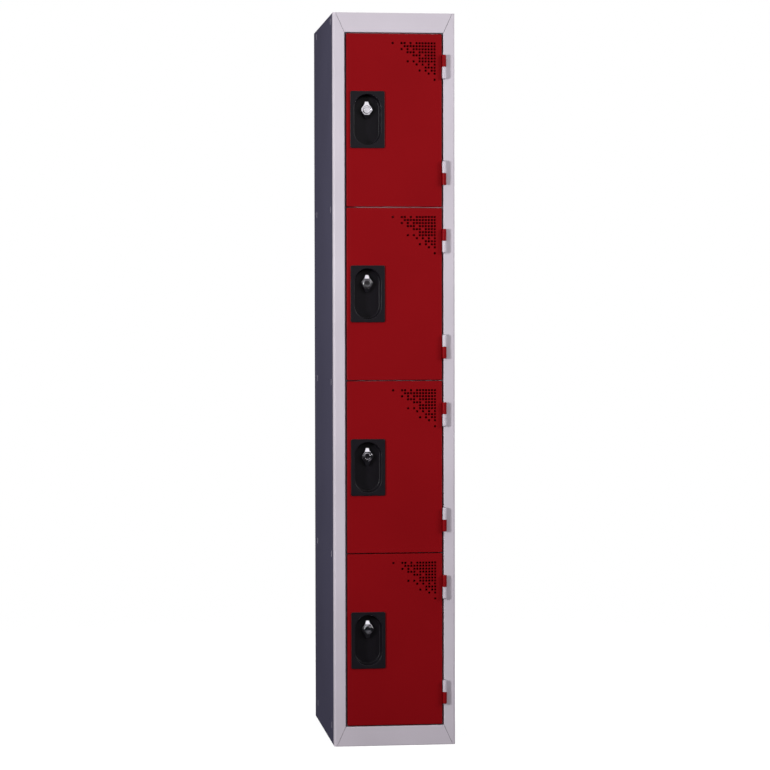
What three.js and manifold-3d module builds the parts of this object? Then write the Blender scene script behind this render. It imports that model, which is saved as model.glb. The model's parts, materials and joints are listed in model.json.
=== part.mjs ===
// Multi-compartment locker: one column of equal compartments, each behind its own hinged door.
// Millimetres, +Z up. X runs across the front, the front faces -Y, and the origin is on the floor
// in the middle of the footprint. Inside the model, y = 0 is the front face of the frame.

import * as THREE from 'three';
import { mergeGeometries, mergeVertices } from 'three/addons/utils/BufferGeometryUtils.js';
import Module from 'manifold-3d';

const wasm = await Module();
wasm.setup();

// Overall size
const WIDTH = 300;
const DEPTH = 500;
const HEIGHT = 1800;
const COMPARTMENTS = 4;

// Sheet, bends and clearances
const SHEET = 1;
const SHEET_BEND = 1; // inside radius
const FRAME_SHEET = 1.5;
const FRAME_BEND = 1; // inside radius
const SEAT_GAP = 0.3; // between pieces that bear on each other
const OVERRUN = 3; // how far a cutter reaches past what it cuts
const BEND_STEPS = 2; // facets of a bend
const ROUND_STEPS = 12; // sides of a round piece

// Front frame
const STILE_FACE = 28;
const STILE_FOLD = 3.5; // inside radius of the stile's outer edge
const STILE_STOP = 17; // door stop flange, from the edge of the opening
const RAIL_FACE = 48;
const RAIL_STOP = 12;
const FRAME_DEPTH = 22;
const MITRE_SET_IN = 6; // where a mitre starts, from the frame's outer edge

// Carcass
const SIDE_FRONT_FLANGE = 34;
const SIDE_BACK_FLANGE = 20;
const SIDE_FOOT_FLANGE = 20;
const SIDE_FOOT_UPSTAND = 12;
const TRAY_FLANGE = 20;
const ROOF_FLANGE = 28;
const DECK_ABOVE_LEVEL = 5; // a shelf's top surface, above the middle of the gap between doors
const NOSE_WIDTH = 202;
const NOSE_THICKNESS = 2;
const NOSE_SET_BACK = 3; // from the front face of the frame
const NOSE_STEPS = 3; // facets of the nose's round edge
const TAB_WIDTH = 8;
const TAB_HEIGHT = 15;
const TAB_FROM_END = 68; // middle of a tab, from the front and the back
const SHELF_TAB_DROP = 2; // top of a tab, below the deck's top surface
const ROOF_TAB_DROP = 8;
const SIDE_HOLE_RADIUS = 2.5;
const SIDE_HOLE_BEHIND_TAB = 64;
const SIDE_HOLE_DROP = 2.5; // middle of the hole, below the top of the tab
const WALL_HOLE_RADIUS = 4;
const WALL_HOLE_FROM_TOP = 90;
const WALL_HOLE_SPACING = 200;

// Doors
const DOOR_GAP_LOCK_SIDE = 3;
const DOOR_GAP_HINGE_SIDE = 4;
const DOOR_GAP_LEVEL = 5; // between two doors
const DOOR_STOP_GAP = 1; // between a closed door and its stop flanges
const DOOR_SIDE_LIP = 15;
const DOOR_END_LIP = 10;

// Vents, read from the top row down; each row ends at the hinge side
const VENT_ROWS = [
  'X..XX.X.XXXXXXX',
  '....XXXXXXXXXXX',
  '...X.X.XXXXXXXX',
  '.....XXX.XXXXXX',
  '.......XXX.XXXX',
  '.........XXXXXX',
  '.....X.X.XXXXXX',
  '........X.X.X.X',
  '...........XXXX',
  '.........X.X.XX',
  '............X.X',
  '...............',
  '..............X',
];
const VENT_SIZE = 4.8;
const VENT_PITCH = 7.42;
const VENT_FROM_EDGE = 18.5;
const VENT_FROM_TOP = 21.7;

// Handle cup
const CUP_WIDTH = 84.5;
const CUP_HEIGHT = 139.5;
const CUP_PLATE = 2.3;
const CUP_CORNER = 4;
const CUP_EDGE = 0.8; // chamfer round the plate
const CUP_CORNER_STEPS = 1; // facets of each corner of the plate
const CUP_FROM_DOOR_EDGE = 11;
const CUP_WALL = 2;
const CUP_FLOOR = 2.5;
const RECESS_WIDTH = 66;
const RECESS_HEIGHT = 124;
const RECESS_DEPTH = 22; // from the door's face to the recess floor
const RECESS_DRAFT = 1.5; // how much narrower each side is at the floor
const RECESS_ROUND = 4; // rounding between wall and floor
const RECESS_LIP = 1.2; // chamfer at the mouth
const CUP_STEPS = 7; // facets of each round end of the recess
const CLIP_LENGTH = 12;
const CLIP_REACH = 1.8;
const CLIP_RISE = 5;
const CLIP_SPACING = 70;
const CUP_HOLE_GAP = 0.5; // round the cup's body, in the door

// Lock: housing, nut, knob and cam
const LOCK_DROP = 44.5; // knob's axis, below the top of the cup
const FLANGE_RADIUS = 11.5;
const FLANGE_THICKNESS = 1.3;
const BARREL_RADIUS = 8;
const BARREL_PAST_NUT = 2.2;
const NUT_ACROSS = 22;
const NUT_HEIGHT = 4;
const KNOB_WIDTH = 30.5;
const KNOB_HEIGHT = 43.5;
const KNOB_TIP_WIDTH = 4; // blunt end of the long tips
const KNOB_TIP_HEIGHT = 7; // blunt end of the short tips
const KNOB_SKIRT = 3.4;
const KNOB_SLOPE = 3.2;
const KNOB_CROWN_SHARE = 0.62; // size of the sloped faces' front edge against the skirt
const BOSS_RADIUS = 9.8;
const BOSS_HEIGHT = 10; // from the knob's back
const BOSS_CHAMFER = 0.9;
const PLUG_RADIUS = 6.2;
const PLUG_SET_BACK = 0.8;
const KEYWAY_WIDTH = 1.8;
const KEYWAY_HEIGHT = 7.5;
const KEYWAY_DEPTH = 3;
const SPINDLE_RADIUS = 4;
const SQUARE = 5.6;
const SQUARE_ROOT = 1; // how far the square starts inside the round spindle
const HEAD_RADIUS = 4.6;
const HEAD_THICKNESS = 1.2;
const CAM_SHEET = 2;
const CAM_BEND = 1.5; // inside radius
const CAM_WIDTH = 14;
const CAM_HUB_RADIUS = 9;
const CAM_CRANK_RUN = 6;
const CAM_CATCH = 9; // how far the tip reaches behind the stop flange
const CAM_STOP_GAP = 2.3;

// Hinges
const KNUCKLE_RADIUS = 5;
const KNUCKLE_LENGTH = 29;
const KNUCKLE_TAPER = 1.2; // chamfer at the outer end
const KNUCKLE_LIFT = 0.6; // between a knuckle and the frame's face
const HALF_GAP = 0.5; // between the two halves of a hinge
const HINGE_FROM_LEVEL = 83; // middle of a hinge, from the nearest level
const LEAF_THICKNESS = 1.6;
const LEAF_REACH = 15; // behind the frame's face
const PIN_RADIUS = 2.8;
const PIN_IN_DOOR_HALF = 21;
const PIN_PROUD = 1.3;
const PIN_ROUNDING = 0.9;

// Places worked out from the sizes above
const OPENING_HALF = WIDTH / 2 - STILE_FACE;
const PITCH = (HEIGHT - 2 * RAIL_FACE) / COMPARTMENTS;
const STOP_EDGE = OPENING_HALF - STILE_STOP;
const TRAY_HALF = WIDTH / 2 - SHEET - SEAT_GAP;
const TRAY_FRONT = FRAME_DEPTH + SHEET + 2 * SEAT_GAP;
const BACK_PANEL_FRONT = DEPTH - 2 * SHEET - SEAT_GAP;
const TRAY_BACK = BACK_PANEL_FRONT - SEAT_GAP;
const DOOR_LEFT = -OPENING_HALF + DOOR_GAP_LOCK_SIDE;
const DOOR_RIGHT = OPENING_HALF - DOOR_GAP_HINGE_SIDE;
const DOOR_HALF_HEIGHT = (PITCH - DOOR_GAP_LEVEL) / 2;
const DOOR_BACK = FRAME_DEPTH - FRAME_SHEET - DOOR_STOP_GAP;
const CUP_X = DOOR_LEFT + CUP_FROM_DOOR_EDGE + CUP_WIDTH / 2;
const CUP_FRONT = -SEAT_GAP - CUP_PLATE;
const CUP_BACK = RECESS_DEPTH + CUP_FLOOR;
const CUP_BODY_HALF_WIDTH = RECESS_WIDTH / 2 + CUP_WALL;
const CUP_BODY_HALF_HEIGHT = RECESS_HEIGHT / 2 + CUP_WALL;
const LOCK_Z = CUP_HEIGHT / 2 - LOCK_DROP;
const FLANGE_FRONT = RECESS_DEPTH - SEAT_GAP - FLANGE_THICKNESS;
const KNOB_BACK = FLANGE_FRONT - SEAT_GAP;
const NUT_FRONT = CUP_BACK + SEAT_GAP;
const BARREL_END = NUT_FRONT + NUT_HEIGHT + BARREL_PAST_NUT;
const CAM_FRONT = BARREL_END + 2 * SEAT_GAP;
const CAM_TIP_FRONT = FRAME_DEPTH + CAM_STOP_GAP;
const HINGE_X = DOOR_RIGHT + SEAT_GAP + KNUCKLE_RADIUS;
const HINGE_Y = -KNUCKLE_LIFT - KNUCKLE_RADIUS;
const BORE_RADIUS = PIN_RADIUS + SEAT_GAP;
const FRONT_REACH = HINGE_Y - KNUCKLE_RADIUS;

const level = (index) => RAIL_FACE + PITCH * index;

const FINISHES = {
  frameGrey: { color: 0xc8c2ca, roughness: 0.45, metalness: 0.1 },
  sideDark: { color: 0x3f3d4a, roughness: 0.55, metalness: 0.1 },
  doorRed: { color: 0x850c13, roughness: 0.45, metalness: 0.1 },
  cupBlack: { color: 0x15151a, roughness: 0.5, metalness: 0 },
  chrome: { color: 0xdcdce2, roughness: 0.12, metalness: 1 },
  zinc: { color: 0xb4b8bc, roughness: 0.35, metalness: 1 },
};

// Turns a closed three.js geometry into a solid, with its faces pointing out
function toSolid(geometry) {
  geometry.deleteAttribute('normal');
  geometry.deleteAttribute('uv');
  const merged = mergeVertices(geometry);
  const points = merged.attributes.position.array;
  const triangles = [];
  for (let i = 0; i < merged.index.count; i += 3) {
    const [a, b, c] = merged.index.array.subarray(i, i + 3);
    if (a !== b && b !== c && c !== a) {
      triangles.push([a, b, c]);
    }
  }
  const corner = (i) => new THREE.Vector3().fromArray(points, 3 * i);
  const volume = triangles.reduce(
    (sum, [a, b, c]) => sum + corner(a).dot(corner(b).cross(corner(c))), 0,
  );
  const outward = volume > 0 ? triangles : triangles.map(([a, b, c]) => [a, c, b]);
  return new wasm.Manifold(new wasm.Mesh({
    numProp: 3,
    vertProperties: new Float32Array(points),
    triVerts: new Uint32Array(outward.flat()),
  }));
}

function toGeometry(solid) {
  const mesh = solid.getMesh();
  const geometry = new THREE.BufferGeometry();
  geometry.setAttribute('position', new THREE.BufferAttribute(mesh.vertProperties, 3));
  geometry.setIndex(new THREE.BufferAttribute(mesh.triVerts, 1));
  geometry.computeVertexNormals();
  return geometry;
}

const join = (first, ...others) => others.reduce((solid, other) => solid.add(other), first);
const cut = (solid, ...cutters) => cutters.reduce((rest, cutter) => rest.subtract(cutter), solid);

// How a section drawn in a plane lies in space, by the axis it is extruded along:
// along x it is drawn in (y, z), along y in (x, z) and along z in (x, y)
const SECTION_FRAMES = {
  x: new THREE.Matrix4().set(0, 0, 1, 0, 1, 0, 0, 0, 0, 1, 0, 0, 0, 0, 0, 1),
  y: new THREE.Matrix4().set(1, 0, 0, 0, 0, 0, -1, 0, 0, 1, 0, 0, 0, 0, 0, 1),
  z: new THREE.Matrix4(),
};

function prism(shape, axis, from, to, arcSteps = ROUND_STEPS) {
  const geometry = new THREE.ExtrudeGeometry(shape, {
    depth: to - from,
    bevelEnabled: false,
    curveSegments: arcSteps / 2,
  });
  geometry.translate(0, 0, axis === 'y' ? -to : from);
  return toSolid(geometry.applyMatrix4(SECTION_FRAMES[axis]));
}

const outline = (points) => new THREE.Shape(points.map(([a, b]) => new THREE.Vector2(a, b)));

function rectangle(left, right, bottom, top) {
  return outline([[left, bottom], [right, bottom], [right, top], [left, top]]);
}

function disc(a, b, radius) {
  return new THREE.Shape().absarc(a, b, radius, 0, 2 * Math.PI);
}

// Section of a folded sheet: a strip along a path of straight runs down the middle of the sheet,
// with a round bend of the given inside radius (one for all, or one for each bend) at each corner
function foldedSection(path, thickness, insideRadius) {
  const corners = path.map(([a, b]) => new THREE.Vector2(a, b));
  const leftSide = [];
  const rightSide = [];
  const addStation = (point, normal) => {
    leftSide.push(point.clone().addScaledVector(normal, thickness / 2));
    rightSide.push(point.clone().addScaledVector(normal, -thickness / 2));
  };
  const leftOf = (direction) => new THREE.Vector2(-direction.y, direction.x);
  const run = (i) => corners[i + 1].clone().sub(corners[i]).normalize();
  addStation(corners[0], leftOf(run(0)));
  for (let i = 1; i < corners.length - 1; i += 1) {
    const before = run(i - 1);
    const turn = Math.atan2(before.cross(run(i)), before.dot(run(i)));
    const inside = Array.isArray(insideRadius) ? insideRadius[i - 1] : insideRadius;
    const radius = (inside + thickness / 2) * Math.sign(turn);
    const start = corners[i].clone().addScaledVector(before, -radius * Math.tan(turn / 2));
    const centre = start.clone().addScaledVector(leftOf(before), radius);
    for (let step = 0; step <= BEND_STEPS; step += 1) {
      const normal = leftOf(before).rotateAround(new THREE.Vector2(), (turn * step) / BEND_STEPS);
      addStation(centre.clone().addScaledVector(normal, -radius), normal);
    }
  }
  addStation(corners.at(-1), leftOf(run(corners.length - 2)));
  return new THREE.Shape([...leftSide, ...rightSide.reverse()]);
}

// Solid of revolution about the y axis; the profile is a list of [radius, y]
function turned(profile, segments = ROUND_STEPS) {
  const points = profile.map(([radius, y]) => new THREE.Vector2(radius, y));
  return new THREE.LatheGeometry(points, segments);
}

// Skin through rings of points; the rings run from the front to the back, each anticlockwise
// as seen from the front, and both ends are closed with flat caps
function loft(rings) {
  const count = rings[0].length;
  const positions = rings.flat().flatMap((point) => point.toArray());
  const index = [];
  for (let r = 0; r + 1 < rings.length; r += 1) {
    for (let i = 0; i < count; i += 1) {
      const next = (i + 1) % count;
      const [a, b] = [r * count + i, r * count + next];
      const [c, d] = [b + count, a + count];
      index.push(a, c, b, a, d, c);
    }
  }
  const last = (rings.length - 1) * count;
  for (let i = 1; i + 1 < count; i += 1) {
    index.push(0, i, i + 1, last, last + i + 1, last + i);
  }
  const geometry = new THREE.BufferGeometry();
  geometry.setAttribute('position', new THREE.Float32BufferAttribute(positions, 3));
  geometry.setIndex(index);
  return toSolid(geometry);
}

function obroundRing(halfWidth, halfHeight, y) {
  const straight = halfHeight - halfWidth;
  return [1, -1].flatMap((end) => Array.from({ length: CUP_STEPS + 1 }, (_, i) => {
    const angle = (Math.PI * i) / CUP_STEPS;
    const x = end * halfWidth * Math.cos(angle);
    return new THREE.Vector3(x, y, end * (straight + halfWidth * Math.sin(angle)));
  }));
}

// Stretch of the mitre's line: half the frame's width at a given distance in from its outer edge
function mitreAt(inward) {
  const outer = WIDTH / 2 - MITRE_SET_IN;
  return outer + ((OPENING_HALF - outer) * inward) / RAIL_FACE;
}

// A stile is one folded profile: outer return, face, inner return and door stop flange
function frameStile(side) {
  const mid = FRAME_SHEET / 2;
  const section = foldedSection([
    [side * (WIDTH / 2 - mid), FRAME_DEPTH],
    [side * (WIDTH / 2 - mid), mid],
    [side * (OPENING_HALF + mid), mid],
    [side * (OPENING_HALF + mid), FRAME_DEPTH - mid],
    [side * STOP_EDGE, FRAME_DEPTH - mid],
  ], FRAME_SHEET, [STILE_FOLD, FRAME_BEND, FRAME_BEND]);
  const inner = STOP_EDGE - OVERRUN;
  const endCut = (outerZ, inward) => prism(outline([
    [side * (mitreAt(-OVERRUN) + SEAT_GAP / 2), outerZ - inward * OVERRUN],
    [side * (mitreAt(RAIL_FACE) + SEAT_GAP / 2), outerZ + inward * (RAIL_FACE + SEAT_GAP)],
    [side * inner, outerZ + inward * (RAIL_FACE + SEAT_GAP)],
    [side * inner, outerZ - inward * OVERRUN],
  ]), 'y', -OVERRUN, FRAME_DEPTH + OVERRUN);
  return toGeometry(cut(prism(section, 'z', 0, HEIGHT), endCut(0, 1), endCut(HEIGHT, -1)));
}

// A rail has the same profile lying down; its outer return tucks in behind the stiles' faces
function frameRail(outerZ, inward) {
  const mid = FRAME_SHEET / 2;
  const z = (distance) => outerZ + inward * distance;
  const section = foldedSection([
    [FRAME_DEPTH + SHEET + SEAT_GAP, z(mid)],
    [mid, z(mid)],
    [mid, z(RAIL_FACE - mid)],
    [FRAME_DEPTH - mid, z(RAIL_FACE - mid)],
    [FRAME_DEPTH - mid, z(RAIL_FACE + RAIL_STOP)],
  ], FRAME_SHEET, FRAME_BEND);
  const half = WIDTH / 2 - STILE_FOLD - FRAME_SHEET;
  const stopHalf = STOP_EDGE - SEAT_GAP;
  const endCut = (side, from, back) => prism(outline([
    [side * (mitreAt(from) - SEAT_GAP / 2), z(from)],
    [side * (mitreAt(RAIL_FACE) - SEAT_GAP / 2), z(RAIL_FACE)],
    [side * stopHalf, z(RAIL_FACE)],
    [side * stopHalf, z(RAIL_FACE + RAIL_STOP + OVERRUN)],
    [side * WIDTH, z(RAIL_FACE + RAIL_STOP + OVERRUN)],
    [side * WIDTH, z(from)],
  ]), 'y', -OVERRUN, back);
  const cutters = [-1, 1].flatMap((side) => [
    endCut(side, -OVERRUN, FRAME_SHEET + SEAT_GAP),
    endCut(side, FRAME_SHEET, FRAME_DEPTH + SHEET + OVERRUN),
  ]);
  return toGeometry(cut(prism(section, 'x', -half, half), ...cutters));
}

// The levels that carry a tray: base, shelves and roof, each with the height of its tabs' top
function tabTops() {
  const floors = Array.from({ length: COMPARTMENTS }, (_, i) => i)
    .map((i) => level(i) + DECK_ABOVE_LEVEL - SHELF_TAB_DROP);
  return [...floors, HEIGHT - ROOF_TAB_DROP];
}

const tabPlaces = () => [TAB_FROM_END, DEPTH - TAB_FROM_END];

function tabShape(y, top, margin) {
  const half = TAB_WIDTH / 2 + margin;
  return rectangle(y - half, y + half, top - TAB_HEIGHT - margin, top + margin);
}

// A side is one sheet folded in at the front, the back and the foot
function sidePanel(side) {
  const mid = SHEET / 2;
  const front = FRAME_DEPTH + SEAT_GAP;
  const sheet = prism(foldedSection([
    [side * (WIDTH / 2 - SIDE_FRONT_FLANGE), front + mid],
    [side * (WIDTH / 2 - mid), front + mid],
    [side * (WIDTH / 2 - mid), DEPTH - mid],
    [side * (WIDTH / 2 - SIDE_BACK_FLANGE), DEPTH - mid],
  ], SHEET, SHEET_BEND), 'z', 0, HEIGHT);
  const foot = prism(foldedSection([
    [side * (WIDTH / 2 - mid), SIDE_FOOT_UPSTAND],
    [side * (WIDTH / 2 - mid), mid],
    [side * (WIDTH / 2 - SIDE_FOOT_FLANGE), mid],
  ], SHEET, SHEET_BEND), 'y', TRAY_FRONT + SHEET_BEND, TRAY_BACK);
  const xRange = [side * (WIDTH / 2 + OVERRUN), side * (TRAY_HALF - OVERRUN)].sort((a, b) => a - b);
  const slots = tabTops().flatMap((top) => [
    ...tabPlaces().map((y) => prism(tabShape(y, top, SEAT_GAP), 'x', ...xRange)),
    prism(
      disc(TAB_FROM_END + SIDE_HOLE_BEHIND_TAB, top - SIDE_HOLE_DROP, SIDE_HOLE_RADIUS),
      'x',
      ...xRange,
    ),
  ]);
  const railRoom = FRAME_SHEET + SEAT_GAP;
  const railEnds = [[-OVERRUN, railRoom], [HEIGHT - railRoom, HEIGHT + OVERRUN]];
  const notches = railEnds.map(([low, high]) => {
    const inner = WIDTH / 2 - SIDE_FRONT_FLANGE - OVERRUN;
    const [left, right] = [side * inner, side * (WIDTH / 2 - SHEET)].sort((a, b) => a - b);
    return prism(rectangle(left, right, low, high), 'y', front - OVERRUN, TRAY_FRONT);
  });
  return toGeometry(cut(join(sheet, foot), ...slots, ...notches));
}

function backPanel() {
  const half = TRAY_HALF - SHEET_BEND;
  const bottom = SHEET + SEAT_GAP;
  const top = HEIGHT - SEAT_GAP;
  const face = rectangle(-half, half, bottom, top);
  const sheet = prism(face, 'y', BACK_PANEL_FRONT, BACK_PANEL_FRONT + SHEET);
  const holes = [-1, 1].map((side) => prism(
    disc((side * WALL_HOLE_SPACING) / 2, HEIGHT - WALL_HOLE_FROM_TOP, WALL_HOLE_RADIUS),
    'y',
    BACK_PANEL_FRONT - OVERRUN,
    BACK_PANEL_FRONT + SHEET + OVERRUN,
  ));
  return toGeometry(cut(sheet, ...holes));
}

// A tray is a deck with flanges folded down on four sides and two tabs in each side panel
function tray(deckTop, flange, tabTop) {
  const mid = SHEET / 2;
  const bottom = deckTop - flange;
  const relief = SHEET + SHEET_BEND;
  const across = prism(foldedSection([
    [-TRAY_HALF + mid, bottom],
    [-TRAY_HALF + mid, deckTop - mid],
    [TRAY_HALF - mid, deckTop - mid],
    [TRAY_HALF - mid, bottom],
  ], SHEET, SHEET_BEND), 'y', TRAY_FRONT + relief, TRAY_BACK - relief);
  const along = prism(foldedSection([
    [TRAY_FRONT + mid, bottom],
    [TRAY_FRONT + mid, deckTop - mid],
    [TRAY_BACK - mid, deckTop - mid],
    [TRAY_BACK - mid, bottom],
  ], SHEET, SHEET_BEND), 'x', -TRAY_HALF + relief, TRAY_HALF - relief);
  const tabs = tabPlaces().flatMap((y) => [
    prism(tabShape(y, tabTop, 0), 'x', -WIDTH / 2 + SEAT_GAP, -TRAY_HALF + mid),
    prism(tabShape(y, tabTop, 0), 'x', TRAY_HALF - mid, WIDTH / 2 - SEAT_GAP),
  ]);
  return join(across, along, ...tabs);
}

// A shelf's front flange carries a hemmed nose that reaches forward into the gap between doors
function shelf(levelZ) {
  const deckTop = levelZ + DECK_ABOVE_LEVEL;
  const half = NOSE_THICKNESS / 2;
  const front = NOSE_SET_BACK;
  const nose = new THREE.Shape();
  nose.moveTo(TRAY_FRONT + SHEET / 2, levelZ - half);
  nose.lineTo(TRAY_FRONT + SHEET / 2, levelZ + half);
  nose.lineTo(front + half, levelZ + half);
  nose.absarc(front + half, levelZ, half, Math.PI / 2, (3 * Math.PI) / 2);
  const body = tray(deckTop, TRAY_FLANGE, deckTop - SHELF_TAB_DROP);
  const fold = prism(nose, 'x', -NOSE_WIDTH / 2, NOSE_WIDTH / 2, NOSE_STEPS);
  return toGeometry(join(body, fold));
}

// Every square vent of a door as one cutter, in the door's own frame
function ventCutter() {
  const boxes = VENT_ROWS.flatMap((row, down) => [...row].flatMap((mark, column) => {
    if (mark !== 'X') {
      return [];
    }
    const fromEdge = VENT_FROM_EDGE + VENT_PITCH * (row.length - 1 - column);
    const box = new THREE.BoxGeometry(VENT_SIZE, SHEET + 2 * OVERRUN, VENT_SIZE);
    const z = DOOR_HALF_HEIGHT - VENT_FROM_TOP - VENT_PITCH * down;
    return [box.translate(DOOR_RIGHT - fromEdge, SHEET / 2, z)];
  }));
  return toSolid(mergeGeometries(boxes));
}

// A door is a pan: its skin is folded back on four sides, and each fold ends in a lip
function doorPanel() {
  const mid = SHEET / 2;
  const back = DOOR_BACK - mid;
  const relief = SHEET + SHEET_BEND;
  const [left, right] = [DOOR_LEFT + mid, DOOR_RIGHT - mid];
  const end = DOOR_HALF_HEIGHT - mid;
  const across = prism(foldedSection([
    [DOOR_LEFT + DOOR_SIDE_LIP, back],
    [left, back],
    [left, mid],
    [right, mid],
    [right, back],
    [DOOR_RIGHT - DOOR_SIDE_LIP, back],
  ], SHEET, SHEET_BEND), 'z', -DOOR_HALF_HEIGHT + relief, DOOR_HALF_HEIGHT - relief);
  const upDown = prism(foldedSection([
    [back, -DOOR_HALF_HEIGHT + DOOR_END_LIP],
    [back, -end],
    [mid, -end],
    [mid, end],
    [back, end],
    [back, DOOR_HALF_HEIGHT - DOOR_END_LIP],
  ], SHEET, SHEET_BEND), 'x', DOOR_LEFT + relief, DOOR_RIGHT - relief);
  const hole = loft([-OVERRUN, SHEET + OVERRUN].map((y) => obroundRing(
    CUP_BODY_HALF_WIDTH + CUP_HOLE_GAP,
    CUP_BODY_HALF_HEIGHT + CUP_HOLE_GAP,
    y,
  ).map((point) => point.setX(point.x + CUP_X))));
  return toGeometry(cut(join(across, upDown), hole, ventCutter()));
}

// Flat plate with rounded corners and a chamfered front edge, round the cup's mouth
function cupPlate() {
  const ring = (inset, y) => {
    const [halfWidth, halfHeight] = [CUP_WIDTH / 2 - inset, CUP_HEIGHT / 2 - inset];
    const shape = new THREE.Shape();
    const corner = CUP_CORNER - inset;
    [[1, 1], [-1, 1], [-1, -1], [1, -1]].forEach(([sideX, sideZ], quarter) => {
      const start = (quarter * Math.PI) / 2;
      const [x, z] = [sideX * (halfWidth - corner), sideZ * (halfHeight - corner)];
      shape.absarc(x, z, corner, start, start + Math.PI / 2);
    });
    const points = shape.getPoints(CUP_CORNER_STEPS).slice(0, -1);
    return points.map((point) => new THREE.Vector3(point.x, y, point.y));
  };
  return loft([ring(CUP_EDGE, CUP_FRONT), ring(0, CUP_FRONT + CUP_EDGE), ring(0, -SEAT_GAP)]);
}

// Ring of the recess, or of its outside when a wall is added, at a given inset from the mouth
const recessRing = (inset, y) => obroundRing(RECESS_WIDTH / 2 - inset, RECESS_HEIGHT / 2 - inset, y);

// Springy wedges on the cup's body that snap in behind the door's skin
function cupClips() {
  const front = SHEET + SEAT_GAP;
  const root = CUP_BODY_HALF_WIDTH - CUP_WALL / 2;
  const reach = CUP_BODY_HALF_WIDTH + CLIP_REACH;
  return [-1, 1].flatMap((side) => [-1, 1].map((end) => {
    const middle = (end * CLIP_SPACING) / 2;
    const wedge = outline([
      [side * root, front],
      [side * reach, front],
      [side * CUP_BODY_HALF_WIDTH, front + CLIP_RISE],
      [side * root, front + CLIP_RISE],
    ]);
    return prism(wedge, 'z', middle - CLIP_LENGTH / 2, middle + CLIP_LENGTH / 2);
  }));
}

function handleCup() {
  const wallEnd = RECESS_DEPTH - RECESS_ROUND;
  const halfRound = RECESS_ROUND * (1 - Math.SQRT1_2);
  const body = loft([
    recessRing(-CUP_WALL, -SEAT_GAP - CUP_PLATE / 2),
    recessRing(RECESS_DRAFT - CUP_WALL, wallEnd),
    recessRing(RECESS_DRAFT - CUP_WALL + halfRound, CUP_BACK - halfRound),
    recessRing(RECESS_DRAFT - CUP_WALL + RECESS_ROUND, CUP_BACK),
  ]);
  const recess = loft([
    recessRing(-RECESS_LIP - OVERRUN, CUP_FRONT - OVERRUN),
    recessRing(0, CUP_FRONT + RECESS_LIP),
    recessRing(RECESS_DRAFT, wallEnd),
    recessRing(RECESS_DRAFT + halfRound, RECESS_DEPTH - halfRound),
    recessRing(RECESS_DRAFT + RECESS_ROUND, RECESS_DEPTH),
  ]);
  const lockHole = prism(
    disc(0, LOCK_Z, BARREL_RADIUS + SEAT_GAP), 'y', RECESS_DEPTH - OVERRUN, CUP_BACK + OVERRUN,
  );
  return toGeometry(cut(join(cupPlate(), body, ...cupClips()), recess, lockHole));
}

// Fixed barrel: a flange in the recess and a tube through the cup's floor
function lockHousing() {
  const bore = SPINDLE_RADIUS + SEAT_GAP;
  return toGeometry(toSolid(turned([
    [bore, FLANGE_FRONT],
    [FLANGE_RADIUS, FLANGE_FRONT],
    [FLANGE_RADIUS, FLANGE_FRONT + FLANGE_THICKNESS],
    [BARREL_RADIUS, FLANGE_FRONT + FLANGE_THICKNESS],
    [BARREL_RADIUS, BARREL_END],
    [bore, BARREL_END],
    [bore, FLANGE_FRONT],
  ])));
}

function lockNut() {
  const corner = NUT_ACROSS / Math.sqrt(3);
  const points = Array.from({ length: 6 }, (_, i) => (i * Math.PI) / 3)
    .map((angle) => [corner * Math.cos(angle), corner * Math.sin(angle)]);
  const hexagon = prism(outline(points), 'y', NUT_FRONT, NUT_FRONT + NUT_HEIGHT);
  const bore = prism(
    disc(0, 0, BARREL_RADIUS + SEAT_GAP), 'y', NUT_FRONT - OVERRUN, NUT_FRONT + NUT_HEIGHT + OVERRUN,
  );
  return toGeometry(cut(hexagon, bore));
}

// Blunt-tipped lozenge, scaled about its middle
function lozengeRing(scale, y) {
  const [a, b] = [KNOB_WIDTH / 2, KNOB_HEIGHT / 2];
  const [tipA, tipB] = [KNOB_TIP_WIDTH / 2, KNOB_TIP_HEIGHT / 2];
  const points = [
    [a, -tipB], [a, tipB], [tipA, b], [-tipA, b], [-a, tipB], [-a, -tipB], [-tipA, -b], [tipA, -b],
  ];
  return points.map(([x, z]) => new THREE.Vector3(scale * x, y, scale * z));
}

// The knob's lozenge slopes up to a round boss; its spindle is squared for the cam and peened over
function lockKnob() {
  const skirtFront = KNOB_BACK - KNOB_SKIRT;
  const bossFront = KNOB_BACK - BOSS_HEIGHT;
  const lozenge = loft([
    lozengeRing(KNOB_CROWN_SHARE, skirtFront - KNOB_SLOPE),
    lozengeRing(1, skirtFront),
    lozengeRing(1, KNOB_BACK),
  ]);
  const spindleEnd = CAM_FRONT - SEAT_GAP;
  const headFront = CAM_FRONT + CAM_SHEET + SEAT_GAP;
  const core = toSolid(turned([
    [0, bossFront + PLUG_SET_BACK],
    [PLUG_RADIUS, bossFront + PLUG_SET_BACK],
    [PLUG_RADIUS, bossFront],
    [BOSS_RADIUS - BOSS_CHAMFER, bossFront],
    [BOSS_RADIUS, bossFront + BOSS_CHAMFER],
    [BOSS_RADIUS, KNOB_BACK],
    [SPINDLE_RADIUS, KNOB_BACK],
    [SPINDLE_RADIUS, spindleEnd],
    [0, spindleEnd],
  ]));
  const half = SQUARE / 2;
  const square = prism(
    rectangle(-half, half, -half, half),
    'y',
    spindleEnd - SQUARE_ROOT,
    headFront + HEAD_THICKNESS / 2,
  );
  const head = prism(disc(0, 0, HEAD_RADIUS), 'y', headFront, headFront + HEAD_THICKNESS);
  const keyway = prism(
    rectangle(-KEYWAY_WIDTH / 2, KEYWAY_WIDTH / 2, -KEYWAY_HEIGHT / 2, KEYWAY_HEIGHT / 2),
    'y',
    bossFront - OVERRUN,
    bossFront + PLUG_SET_BACK + KEYWAY_DEPTH,
  );
  return toGeometry(cut(join(lozenge, core, square, head), keyway));
}

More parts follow.
